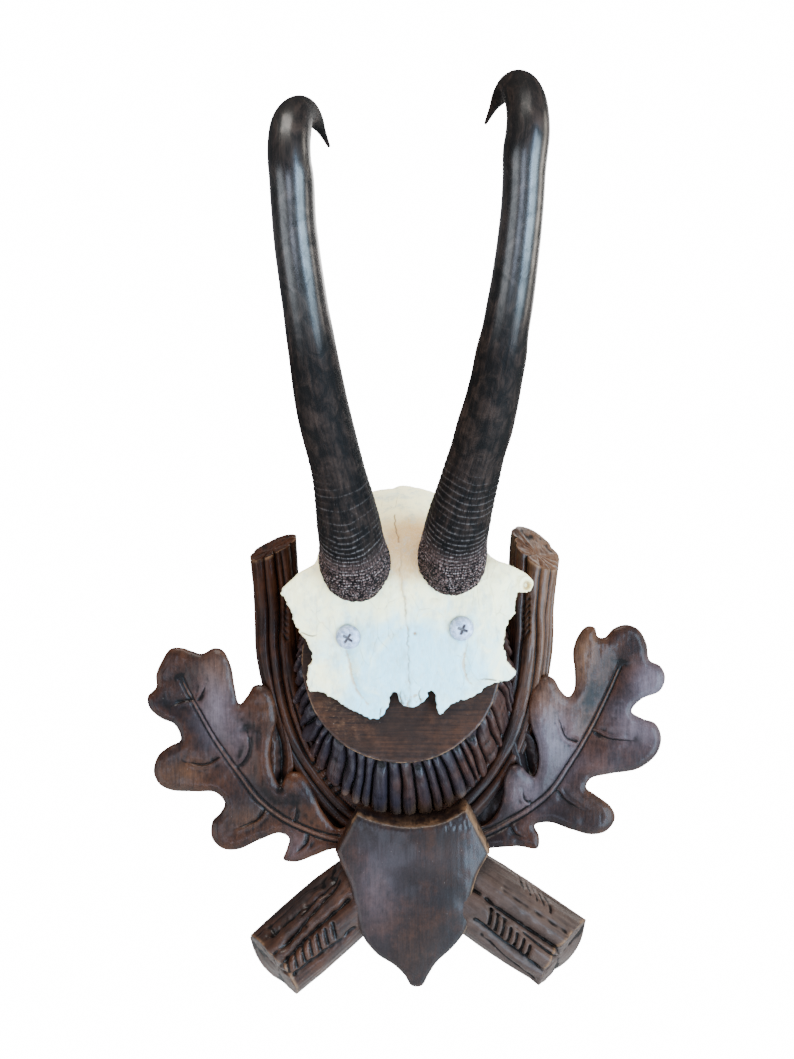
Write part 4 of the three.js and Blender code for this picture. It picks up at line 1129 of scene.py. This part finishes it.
def skull():
    k = skullShape
    outline = corneredOutline(k["outline"], k["corners"], 0.42)
    # broken edges are ragged, sawn and natural ones are not
    normal = outwardNormals(outline)
    spots = atWall(outline)
    broken = between(outline[:, 1], 33, 27) * between(np.abs(outline[:, 0] - 0.5), 5, 8)
    splinters = 0.6 * rough(spots, 3.4, k["seed"], 3) + 0.65 * np.abs(noise(spots, 1.3, k["seed"] + 9)) - 0.3
    outline = outline + normal * (splinters * (0.22 + 0.78 * broken))[:, None]
    suture = jagged(k["suture"], 0.4, 0.55, 1.5, 82)
    domeSuture = jagged(k["domeSuture"], 0.4, 0.35, 1.2, 83)
    cracks = [jagged(c, 0.4, 0.25, 1.0, 84) for c in k["cracks"]]
    grooves = [smoothCurve(g, 0.8) for g in k["grooves"]]

    def front(flat, reach):
        x, y = flat.T
        p = atWall(flat)
        z = skullHeight(x, y) + 1.1 * noise(p, 17, 84) + 0.42 * rough(p, 6, 85) + 0.07 * noise(p, 0.9, 86)
        d, t, turn = nearest(flat, suture)
        z = z - 0.42 * bump(d, 0.36) * between(t, 0.99, 0.93) * (0.55 + 0.45 * noise(p, 2.5, 88))
        z = z + 0.45 * bump(d, 4) * between(y, 45, 20) + 0.12 * turn * bump(d, 1.2)
        d, _, _ = nearest(flat, domeSuture)
        z = z - 0.45 * bump(d, 0.4)
        for crack in cracks:
            d, t, _ = nearest(flat, crack)
            z = z - 0.5 * bump(d, 0.28) * between(t, 1.0, 0.6)
        for groove in grooves:
            d, t, turn = nearest(flat, groove)
            ends = np.sin(math.pi * np.clip(t, 0, 1)) ** 0.5
            z = z - (0.95 * bump(d, 1.7) - 0.3 * turn * bump(d - 1, 2)) * ends
        hole = np.hypot(x - k["foramen"][0], y - k["foramen"][1])
        z = z - 0.9 * bump(hole, 0.5)
        # the right process ends in a rolled, hollow rim
        curl = np.hypot(x - k["curl"][0], (y - k["curl"][1]) * 0.85)
        z = z - 3.0 * bump(curl, 1.7) + 1.1 * bump(curl - 2.9, 0.9)
        # thin nasal ends curl down and crumble
        crumble = between(y, -9, -15) * between(np.abs(x - 1.5), 6, 4)
        z = z - 1.2 * between(y, -8, -22) + 0.9 * crumble * rough(p, 1.8, 89)
        z = z + 0.25 * between(reach, 1.6, 0.4) * noise(p, 1.6, 92) * between(y, 33, 27)
        return np.maximum(z, 2.0)

    def back(flat):
        x, y = flat.T
        return np.maximum(skullHeight(x, y) - k["thickness"] - 0.6 * between(y, 40, 60), 0.4)

    rows = [(suture, (-0.6, -0.3, 0, 0.3, 0.6), 0.85), (domeSuture, (-0.6, -0.3, 0, 0.3, 0.6), 0.85)]
    rows += [(c, (-0.4, -0.18, 0, 0.18, 0.4), 0.6) for c in cracks]
    points, faces = plate(outline, 0.52, 0.75, front, back, 7, rows, 0.3, (0.3, (2.2, 2.2, 4)), 87)
    x, y, z = points.T
    flat = points[:, :2]
    d, _, _ = nearest(flat, suture)
    e, _, _ = nearest(flat, domeSuture)
    line = bump(d, 0.28) * (0.38 + 0.5 * noise(points, 3, 90)) * between(y, 47, 40) + bump(e, 0.24)
    for crack in cracks:
        f, t, _ = nearest(flat, crack)
        line = np.maximum(line, bump(f, 0.26) * between(t, 1.0, 0.6))
    hole = np.hypot(x - k["foramen"][0], y - k["foramen"][1])
    line = np.clip(np.maximum(line, bump(hole, 0.6)), 0, 1)
    crumble = between(y, -9, -15) * between(np.abs(x - 1.5), 6.5, 4.5)
    line = np.maximum(line, 0.6 * crumble * between(noise(points, (0.9, 1.6, 2), 94), 0.15, 0.7))
    # tan: the bone's yellowed tint, with painted shade round the horn bases and in the saddle between them
    nearHorn = sum(np.exp(-(((x - px) ** 2 + (y - py) ** 2) / 19.5 ** 2)) for px, py in k["pedicles"])
    saddle = bump((x - 0.5) / 11, 1) * bump((y - 47) / 11, 1)
    reach, _, _ = nearest(flat, outline, closed=True)
    edgeTan = bump(reach, 0.6) * between(y, 34, 28) * (0.4 + 0.4 * noise(points, 4, 93)) + 0.3 * bump(d, 1.3)
    tan = 0.36 * between(y, 26, 46) + 0.32 * nearHorn + 0.95 * saddle - 0.3 * between(y, 56, 66) + edgeTan
    curl = np.hypot(x - k["curl"][0], (y - k["curl"][1]) * 0.85)
    # painted shade: brown beside the horn bases and in the hollow of the curled rim
    rightHornShade = bump((x - 6) / 5.5, 1) * bump((y - 45) / 8, 1)
    leftHornShade = bump((x + 9.5) / 4, 1) * bump((y - 44) / 8, 1)
    stainAndPaintedShade = 0.7 * bump(curl, 1.6) + 0.75 * rightHornShade + 0.5 * leftHornShade
    # painted light: cooler and paler towards the bottom, where the bluish window light falls
    cool = 0.95 * between(y, 34, 4) * bump((x - 2) / 36, 1) + 0.12
    return makePiece("skullPlate", points, faces, bone, "skull_plate", marks={
        "line": line, "tan": np.clip(tan, 0, 1), "cool": np.clip(cool, 0, 1), "stainAndPaintedShade": stainAndPaintedShade}, rounds=14)


skull()

skullWallsShape = {
    "outline": [(-29, -6), (-31, 12), (-34, 30), (-35.5, 47), (-31, 59.5), (-22, 69), (-12, 72.8), (0, 73.8),
                (12, 71.5), (21.5, 67), (29, 57.5), (31, 47), (32, 30), (31, 12), (30, -2), (14, -9),
                (0, -8), (-14, -11)],
    "thickness": 3.2, "rounded": 0.8, "underBone": 2.2,
    "bossReach": 58, "aboveBoss": 0.5, "offWall": 2.2,
}


def skullWalls():
    # the braincase and orbit walls that reach back to the boss, seen only from the side
    w = skullWallsShape
    core = smoothCurve(w["outline"], 0.9, closed=True)
    normal = outwardNormals(core)
    n = len(core)
    top = skullHeight(core[:, 0], core[:, 1]) - w["underBone"]
    fromBoss = np.hypot(core[:, 0] - bossShape["middle"][0], core[:, 1] - bossShape["middle"][1])
    rest = np.where(fromBoss < w["bossReach"], bossPlane(core[:, 1]) + w["aboveBoss"], w["offWall"])
    rest = np.minimum(rest, top - 0.5)
    rings = []
    for inward, shares in ((0.0, np.linspace(0, 1, 14)), (w["thickness"], np.linspace(1, 0, 14))):
        for share in shares:
            z = top + (rest - top) * share
            flat = core - normal * (inward + w["rounded"] * math.sin(math.pi * share))
            p = np.column_stack([flat, z])
            p[:, :2] += normal * (0.35 * rough(p, 4, 88))[:, None]
            rings.append(p)
    points = np.concatenate(rings)
    faces = [gridFaces(len(rings), n)[:, ::-1]]
    marks = {"tan": np.full(len(points), 0.45), "stainAndPaintedShade": 0.35 * between(points[:, 1], 20, 40)}
    return makePiece("skullWalls", points, faces, bone, "skull_plate", marks=marks, rounds=4)


skullWalls()
print("skull done")


# horns

hornLook = {
    "black": (0.0020, 0.0016, 0.0015),
    "brown": (0.0240, 0.0148, 0.0112),
    "root": (0.105, 0.064, 0.056),
    "dust": (0.36, 0.315, 0.30),
    "pit": (0.0010, 0.0008, 0.0007),
    "coatRoughness": 0.27,
    "shine": 0.07,
    "bumpStep": 0.00028,
}
# shaft is a list of (x, y, z, radius); the hook then turns in a round arc
horns = {
    "hornLeft": {
        "node": "horn_left",
        "shaft": [(-20.5, 31, 31, 13), (-21, 39.5, 42, 13.3), (-22.3, 55, 62, 12.2),
                  (-25.7, 76.5, 77.5, 9.9), (-30, 96.5, 90.5, 9.1), (-32.4, 114.6, 102, 7.9),
                  (-34.2, 131, 112.8, 7.1), (-35.6, 147, 122, 6.7)],
        "hook": {"x": -36.2, "y": 167.4, "z": 113, "turnIn": 18}, "seed": 91},
    "hornRight": {
        "node": "horn_right",
        "shaft": [(17.5, 34, 30.5, 13), (17.8, 42, 41.5, 13.3), (18.8, 56.5, 61, 12.2), (23.4, 78, 77, 10.2),
                  (28.3, 98.5, 90, 9.3), (31, 117.5, 102, 8.2), (33, 135.5, 113, 7.2),
                  (34, 153, 122.5, 6.8)],
        "hook": {"x": 34.4, "y": 175, "z": 113, "turnIn": -18}, "seed": 97},
}
hornCarving = {
    "hookRadius": 18, "fromDeg": 24, "toDeg": -110, "straightEnd": 6.5,
    "hookRadii": [6.5, 6.3, 5.9, 5.1, 3.9, 2.4, 0.5],
    "step": 0.36, "firstSeen": 10.0,
    # rings are firstPitch apart at the root, and twice that pitchGrowth higher up
    "firstPitch": 1.15, "pitchGrowth": 36.0,
    "ringHeight": 0.55, "ringReach": 84, "rootReach": 28, "collar": 0.8,
}


def hornShader():
    s = Shade("hornSheath")
    look = hornLook
    place, hollow = s.place(), s.value("hollow")
    root, crest, dust = s.value("root"), s.value("crest"), s.value("dustShare")
    streak = s.noise(place, (0.8, 0.8, 0.03), 3.0, 0.6)
    line = s.noise(place, (2.4, 2.4, 0.12), 3.0, 0.65)
    net = s.noise(place, (1.9, 1.9, 1.2), 4.0, 0.72)
    cells = s.cells(s.mix(0.06, place, net), (0.9, 0.9, 0.62), "DISTANCE_TO_EDGE")
    patch = s.noise(place, 0.07, 2.0, 0.5)
    cloud = s.noise(place, (0.24, 0.24, 0.17), 4.0, 0.66, 0.8)
    brownish = (streak * 0.8 - 0.2 + (patch - 0.5) * 0.7 + (cloud - 0.5) * 1.5 + line * 0.25).ramp(0.1, 0.95)
    colour = s.mix(brownish, look["black"], look["brown"])
    rooted = (root * 1.1 + (patch - 0.5) * 0.4 + (net - 0.5) * 0.5).ramp(0.2, 1.0)
    colour = s.mix(rooted * 0.85, colour, look["root"])
    dusty = (crest + (net - 0.5) * 1.1 + (line - 0.5) * 1.6).ramp(0.35, 1.05)
    colour = s.mix(dusty * dust * (0.16 + 0.36 * root), colour, look["dust"])
    pits = cells.ramp(0.2, 0.05) * root + (line - 0.5).ramp(0.04, -0.18) * 0.6 * dust
    sunken = (hollow + (net - 0.5) * 0.08).ramp(0.015, 0.12) * (0.3 + 0.6 * root)
    colour = s.mix(sunken, colour, look["pit"])
    colour = s.mix(pits * 0.92, colour, look["pit"])
    roughness = 0.66 + s.value("dull") * 0.2 - s.value("gloss") * 0.28 + root * 0.12 + dust * 0.08
    roughness = roughness + (streak - 0.5) * 0.16 + (net - 0.5) * 0.14 + crest * 0.05
    gloss = s.value("gloss") * (patch * 0.5 + cloud * 0.7 + net * 0.2 + streak * 0.2 - 0.15).ramp(0.2, 0.85)
    height = line * (0.35 + root * 0.5) + net * (0.1 + root * 0.9) + streak * 0.6 + cloud * 1.6 - pits * 0.8
    return s.finish(colour, roughness, height, look["bumpStep"], {
        "Coat Weight": gloss, "Coat Roughness": look["coatRoughness"], "Specular IOR Level": look["shine"]})


hornSkin = hornShader()


def hornLine(shape):
    c, hook = hornCarving, shape["hook"]
    turn = math.radians(hook["turnIn"])
    angle = np.radians(np.linspace(c["fromDeg"], c["toDeg"], 13))
    out = c["hookRadius"] * (np.cos(angle) - 1)
    up = -c["hookRadius"] * np.sin(angle)
    out = np.append(out, out[-1] + c["straightEnd"] * np.sin(angle[-1]))
    up = np.append(up, up[-1] + c["straightEnd"] * np.cos(angle[-1]))
    radii = np.interp(np.linspace(0, 6, 14), np.arange(7), c["hookRadii"])
    hookLine = np.stack([hook["x"] - math.sin(turn) * out, hook["y"] + up,
                         hook["z"] + c["hookRadius"] + math.cos(turn) * out, radii], 1)
    return smoothCurve(np.concatenate([np.array(shape["shaft"], float), hookLine]), c["step"])


def horn(name, shape):
    c, seed = hornCarving, shape["seed"]
    line = hornLine(shape)
    angles = np.linspace(0, 2 * math.pi, 124, endpoint=False)

    def ringed(s, angle, radius):
        # growth rings, close together at the root, wider apart and fading out up the horn
        spot = stacked(radius * np.cos(angle), radius * np.sin(angle), s)
        warp = 1.1 * noise(spot * (1, 1, 0.5), 11, seed) + 0.25 * noise(spot, 3, seed + 1)
        up = np.clip(s - c["firstSeen"] + warp, 0, None)
        phase = c["pitchGrowth"] / c["firstPitch"] * np.log1p(up / c["pitchGrowth"])
        number = np.floor(phase)
        wave = phase - number
        odd = stacked(number, 0, 0).astype(np.int64)
        vary = 0.4 + 0.95 * cellValue(odd, seed)
        crest = np.where(wave < 0.7, wave / 0.7, (1 - wave) / 0.3)
        patchy = np.clip(0.85 + 0.5 * noise(spot * (1, 1, 0.7), 8, seed + 9), 0.3, 1.3)
        return crest, between(up, c["ringReach"], 24) * vary * patchy

    def section(s, angle, radius, place):
        spot = stacked(radius * np.cos(angle), radius * np.sin(angle), s)
        crest, strength = ringed(s, angle, radius)
        up = s - c["firstSeen"]
        root = between(up, c["rootReach"], 4)
        r = radius + c["ringHeight"] * (crest - 0.5) * strength + c["collar"] * bump((up - 9) / 8, 1)
        r = r + 0.4 * noise(spot * (1, 1, 0.3), 6.5, seed + 2) * between(up, 120, 20)
        r = r + 0.10 * noise(spot * (1, 1, 0.08), 0.95, seed + 3) * between(up, 150, 20)
        r = r + (0.26 * noise(spot * (1, 1, 0.7), 0.95, seed + 4) + 0.14 * noise(spot, 0.9, seed + 5)) * root
        swell = noise(stacked(s, 0.0, 0.0), 9, seed + 6)
        return r + 0.26 * swell * between(radius, 2, 6)

    points, run = sweep(line[:, :3], line[:, 3], angles, section)
    around = np.broadcast_to(angles[None], run.shape[:2])
    crest, strength = ringed(run[..., 2], around, np.linalg.norm(run[..., :2], axis=-1))
    up = run[..., 2] - c["firstSeen"]
    root = between(up, 34, 12)
    rows, columns = points.shape[:2]
    dust = 0.85 * root + 0.75 * between(up, 84, 20) * between(up, 4, 24) + 0.06
    marks = {"root": root, "crest": bump(crest - 1, 0.24) * np.clip(strength * 1.7, 0, 1.1),
             "dustShare": np.clip(dust, 0, 1), "gloss": between(up, 98, 134) * between(up, 176, 152),
             "dull": between(up, 165, 190)}
    # what is sunk well inside the bone is left out; the tip closes on one last point
    sunk = int(c["firstSeen"] / 2 / c["step"])
    tip = line[-1:, :3] + (line[-1:, :3] - line[-2:-1, :3])
    lastRow = (rows - sunk - 1) * columns + np.arange(columns)
    faces = [gridFaces(rows - sunk, columns), fanFaces(lastRow, (rows - sunk) * columns)]
    flat = np.concatenate([points[sunk:].reshape(-1, 3), tip])
    runs = np.concatenate([run[sunk:].reshape(-1, 3), run[-1, :1]])
    marks = {key: np.append(value[sunk:].ravel(), 0) for key, value in marks.items()}
    return makePiece(name, flat, faces, hornSkin, shape["node"], runs, marks, rounds=8)


for name, shape in horns.items():
    horn(name, shape)
print("horns done")


# screws

screwShape = {
    "headHeight": 2.6, "slotWidth": 0.8, "slotLength": 4.9, "slotDepth": 1.3, "standsUp": 0.35,
    # where each one is, how far it is turned, and its node
    "places": {"screwLeft": ((-24, 11.5), 0.6, "screw_left"),
               "screwRight": ((21.8, 15), 0.35, "screw_right")},
    # the head's profile: radius and share of its height
    "profile": [(0.05, 1), (0.3, 1), (0.6, 1), (0.9, 1), (1.2, 1), (1.5, 0.995), (1.8, 0.985), (2.1, 0.97),
                (2.4, 0.955), (2.8, 0.93), (3.2, 0.89), (3.6, 0.83), (4.0, 0.755), (4.35, 0.66),
                (4.65, 0.54),
                (4.88, 0.4), (5.02, 0.26), (5.08, 0.12), (5.05, 0.03), (4.9, -0.02), (2.0, -0.04)],
}


zincLook = {
    "dark": (0.20, 0.25, 0.35),
    "light": (0.44, 0.52, 0.66),
    "fleck": (0.80, 0.84, 0.88),
    # dirt in the slot, and painted shadow round the rim
    "dirtAndPaintedShade": (0.060, 0.040, 0.028),
    "metal": 0.45,
    "bumpStep": 0.00008,
}


def zincShader():
    s = Shade("zincPlate")
    look = zincLook
    place = s.place()
    cloud = s.noise(place, 0.7, 4.0, 0.6)
    fleck = s.noise(place, 2.6, 3.0, 0.7)
    colour = s.mix(cloud.ramp(0.35, 0.7), look["dark"], look["light"])
    colour = s.mix(fleck.ramp(0.55, 0.72) * 0.6, colour, look["fleck"])
    # the slot's dirt and a painted shadow round the head's rim darken the zinc
    slotDirtAndRimShadow = s.value("slotShare") * (fleck + 0.2).ramp(0.30, 0.62)
    colour = s.mix(slotDirtAndRimShadow * 0.85, colour, look["dirtAndPaintedShade"])
    roughness = 0.40 + fleck * 0.25
    height = fleck + cloud * 0.5
    return s.finish(colour, roughness, height, look["bumpStep"], {"Metallic": look["metal"]})


zinc = zincShader()


def screw(name, spot, turn, node):
    k = screwShape
    angle = np.linspace(0, 2 * math.pi, 120, endpoint=False)[None]
    x, y = spot
    step = 3.0
    slopeX = (skullHeight(x + step, y) - skullHeight(x - step, y)) / (2 * step)
    slopeY = (skullHeight(x, y + step) - skullHeight(x, y - step)) / (2 * step)
    out = np.array([-slopeX, -slopeY, 1.0]) / math.sqrt(slopeX ** 2 + slopeY ** 2 + 1)
    sideways = np.cross([0, 1, 0], out)
    sideways /= np.linalg.norm(sideways)
    upward = np.cross(out, sideways)
    base = np.array([x, y, float(skullHeight(x, y))]) + out * k["standsUp"]
    profile = np.array(k["profile"], float)
    r = profile[:, :1]
    u, v = np.abs(r * np.cos(angle + turn)), np.abs(r * np.sin(angle + turn))
    wide, long = k["slotWidth"] / 2, k["slotLength"] / 2
    arm = np.maximum(between(v, wide + 0.25, wide - 0.1) * between(u, long, long - 0.7),
                     between(u, wide + 0.25, wide - 0.1) * between(v, long, long - 0.7))
    h = profile[:, 1:] * k["headHeight"] - arm * k["slotDepth"] * np.clip(1.15 - r / 3.2, 0.25, 1)
    points = base + (r * np.cos(angle))[..., None] * sideways + (r * np.sin(angle))[..., None] * upward
    points = (points + h[..., None] * out).reshape(-1, 3)
    rows, columns = h.shape
    faces = [gridFaces(rows, columns)[:, ::-1], fanFaces(np.arange(columns), len(points))]
    points = np.concatenate([points, [base + out * (k["headHeight"] - k["slotDepth"])]])
    # painted shadow round the lower rim of the head, against the bone
    rimShadow = 0.75 * between(profile[:, 1:], 0.32, 0.1) * between(r, 4.6, 4.9)
    slotShare = np.append(np.maximum(arm > 0.35, rimShadow + arm * 0).ravel(), 1)
    return makePiece(name, points, faces, zinc, node, marks={"slotShare": slotShare}, rounds=3)


for name, (spot, turn, node) in screwShape["places"].items():
    screw(name, spot, turn, node)
print("screws done")


# floor, light and camera

room = {
    "floorColour": (0.92, 0.92, 0.91), "floorRoughness": 0.7, "floorMottle": 60.0,
    "floorHeight": -0.9, "floorHalfWidth": 40.0, "floorFront": -40.0, "floorBack": 1.0,
    "lightColour": (0.86, 0.92, 1.0), "lightStrength": 0.33,      # what the room throws on the object
    "backColour": (1.0, 1.0, 1.0), "backStrength": 16.0,          # the pale wall that the camera sees
    "aimAt": (0.0, -0.03, 0.0),
}
# each lamp's place, size, power and colour
lamps = {
    "window": ((0.95, -0.85, -0.30), (0.6, 1.1), 52.0, (0.58, 0.81, 1.0)),
    "windowLeft": ((-0.95, -0.70, -0.40), (0.7, 0.9), 15.0, (0.84, 0.92, 1.0)),
    "strip": ((0.60, -0.95, -0.12), (0.12, 0.9), 18.0, (0.48, 0.70, 1.0)),
    "glow": ((-0.22, -1.1, -0.38), (0.35, 0.35), 6.0, (0.68, 0.78, 1.0)),
    "lampRight": ((1.15, -0.05, 0.25), (0.3, 1.2), 16.0, (1.0, 0.92, 0.80)),
    "lampTop": ((-0.20, -0.75, 1.05), (0.8, 0.6), 37.0, (1.0, 0.96, 0.90)),
    "lampBack": ((0.5, 1.4, 0.7), (1.6, 1.2), 48.0, (1.0, 0.98, 0.95)),
}
view = {"place": (-0.0043, -0.366, 0.055), "lens": 27.03, "sensorWidth": 36, "nearest": 0.01}


def floor():
    side, low = room["floorHalfWidth"], room["floorHeight"]
    near, far = room["floorFront"], room["floorBack"]
    mesh = bpy.data.meshes.new("floor")
    mesh.from_pydata([(-side, near, low), (side, near, low), (side, far, low), (-side, far, low)], [],
                     [(0, 1, 2, 3)])
    obj = bpy.data.objects.new("floor", mesh)
    bpy.context.scene.collection.objects.link(obj)
    s = Shade("floor")
    mottle = s.noise(s.make("ShaderNodeTexCoord", output="Object"), room["floorMottle"], 3.0, 0.5)
    tone = s.mix(mottle, tuple(c * 0.97 for c in room["floorColour"]), room["floorColour"])
    mesh.materials.append(s.finish(tone, room["floorRoughness"], mottle, 0.0002))


def lamp(name, place, size, power, colour):
    light = bpy.data.lights.new(name, "AREA")
    light.shape = "RECTANGLE"
    light.size, light.size_y = size
    light.energy = power
    light.color = colour
    obj = bpy.data.objects.new(name, light)
    obj.location = place
    obj.rotation_euler = (Vector(room["aimAt"]) - obj.location).to_track_quat("-Z", "Y").to_euler()
    bpy.context.scene.collection.objects.link(obj)


def roomLight():
    world = bpy.data.worlds.new("softRoom")
    bpy.context.scene.world = world
    world.use_nodes = True
    sky = Nodes(world.node_tree)
    lit = world.node_tree.nodes["Background"]
    sky.connect(room["lightColour"], lit.inputs["Color"])
    sky.connect(room["lightStrength"], lit.inputs["Strength"])
    back = sky.make("ShaderNodeBackground", sockets={
        "Color": room["backColour"], "Strength": room["backStrength"]})
    isSeen = sky.make("ShaderNodeLightPath", output="Is Camera Ray")
    both = sky.make("ShaderNodeMixShader", sockets={0: isSeen, 1: Wire(sky, lit.outputs[0]), 2: back})
    sky.connect(both, world.node_tree.nodes["World Output"].inputs["Surface"])


def cameraView():
    data = bpy.data.cameras.new("camera")
    data.lens = view["lens"]
    data.sensor_width = view["sensorWidth"]
    data.clip_start = view["nearest"]
    camera = bpy.data.objects.new("camera", data)
    camera.location = view["place"]
    camera.rotation_euler = (math.pi / 2, 0, 0)
    bpy.context.scene.collection.objects.link(camera)
    bpy.context.scene.camera = camera


floor()
for name, values in lamps.items():
    lamp(name, *values)
roomLight()
cameraView()
print("stage done")
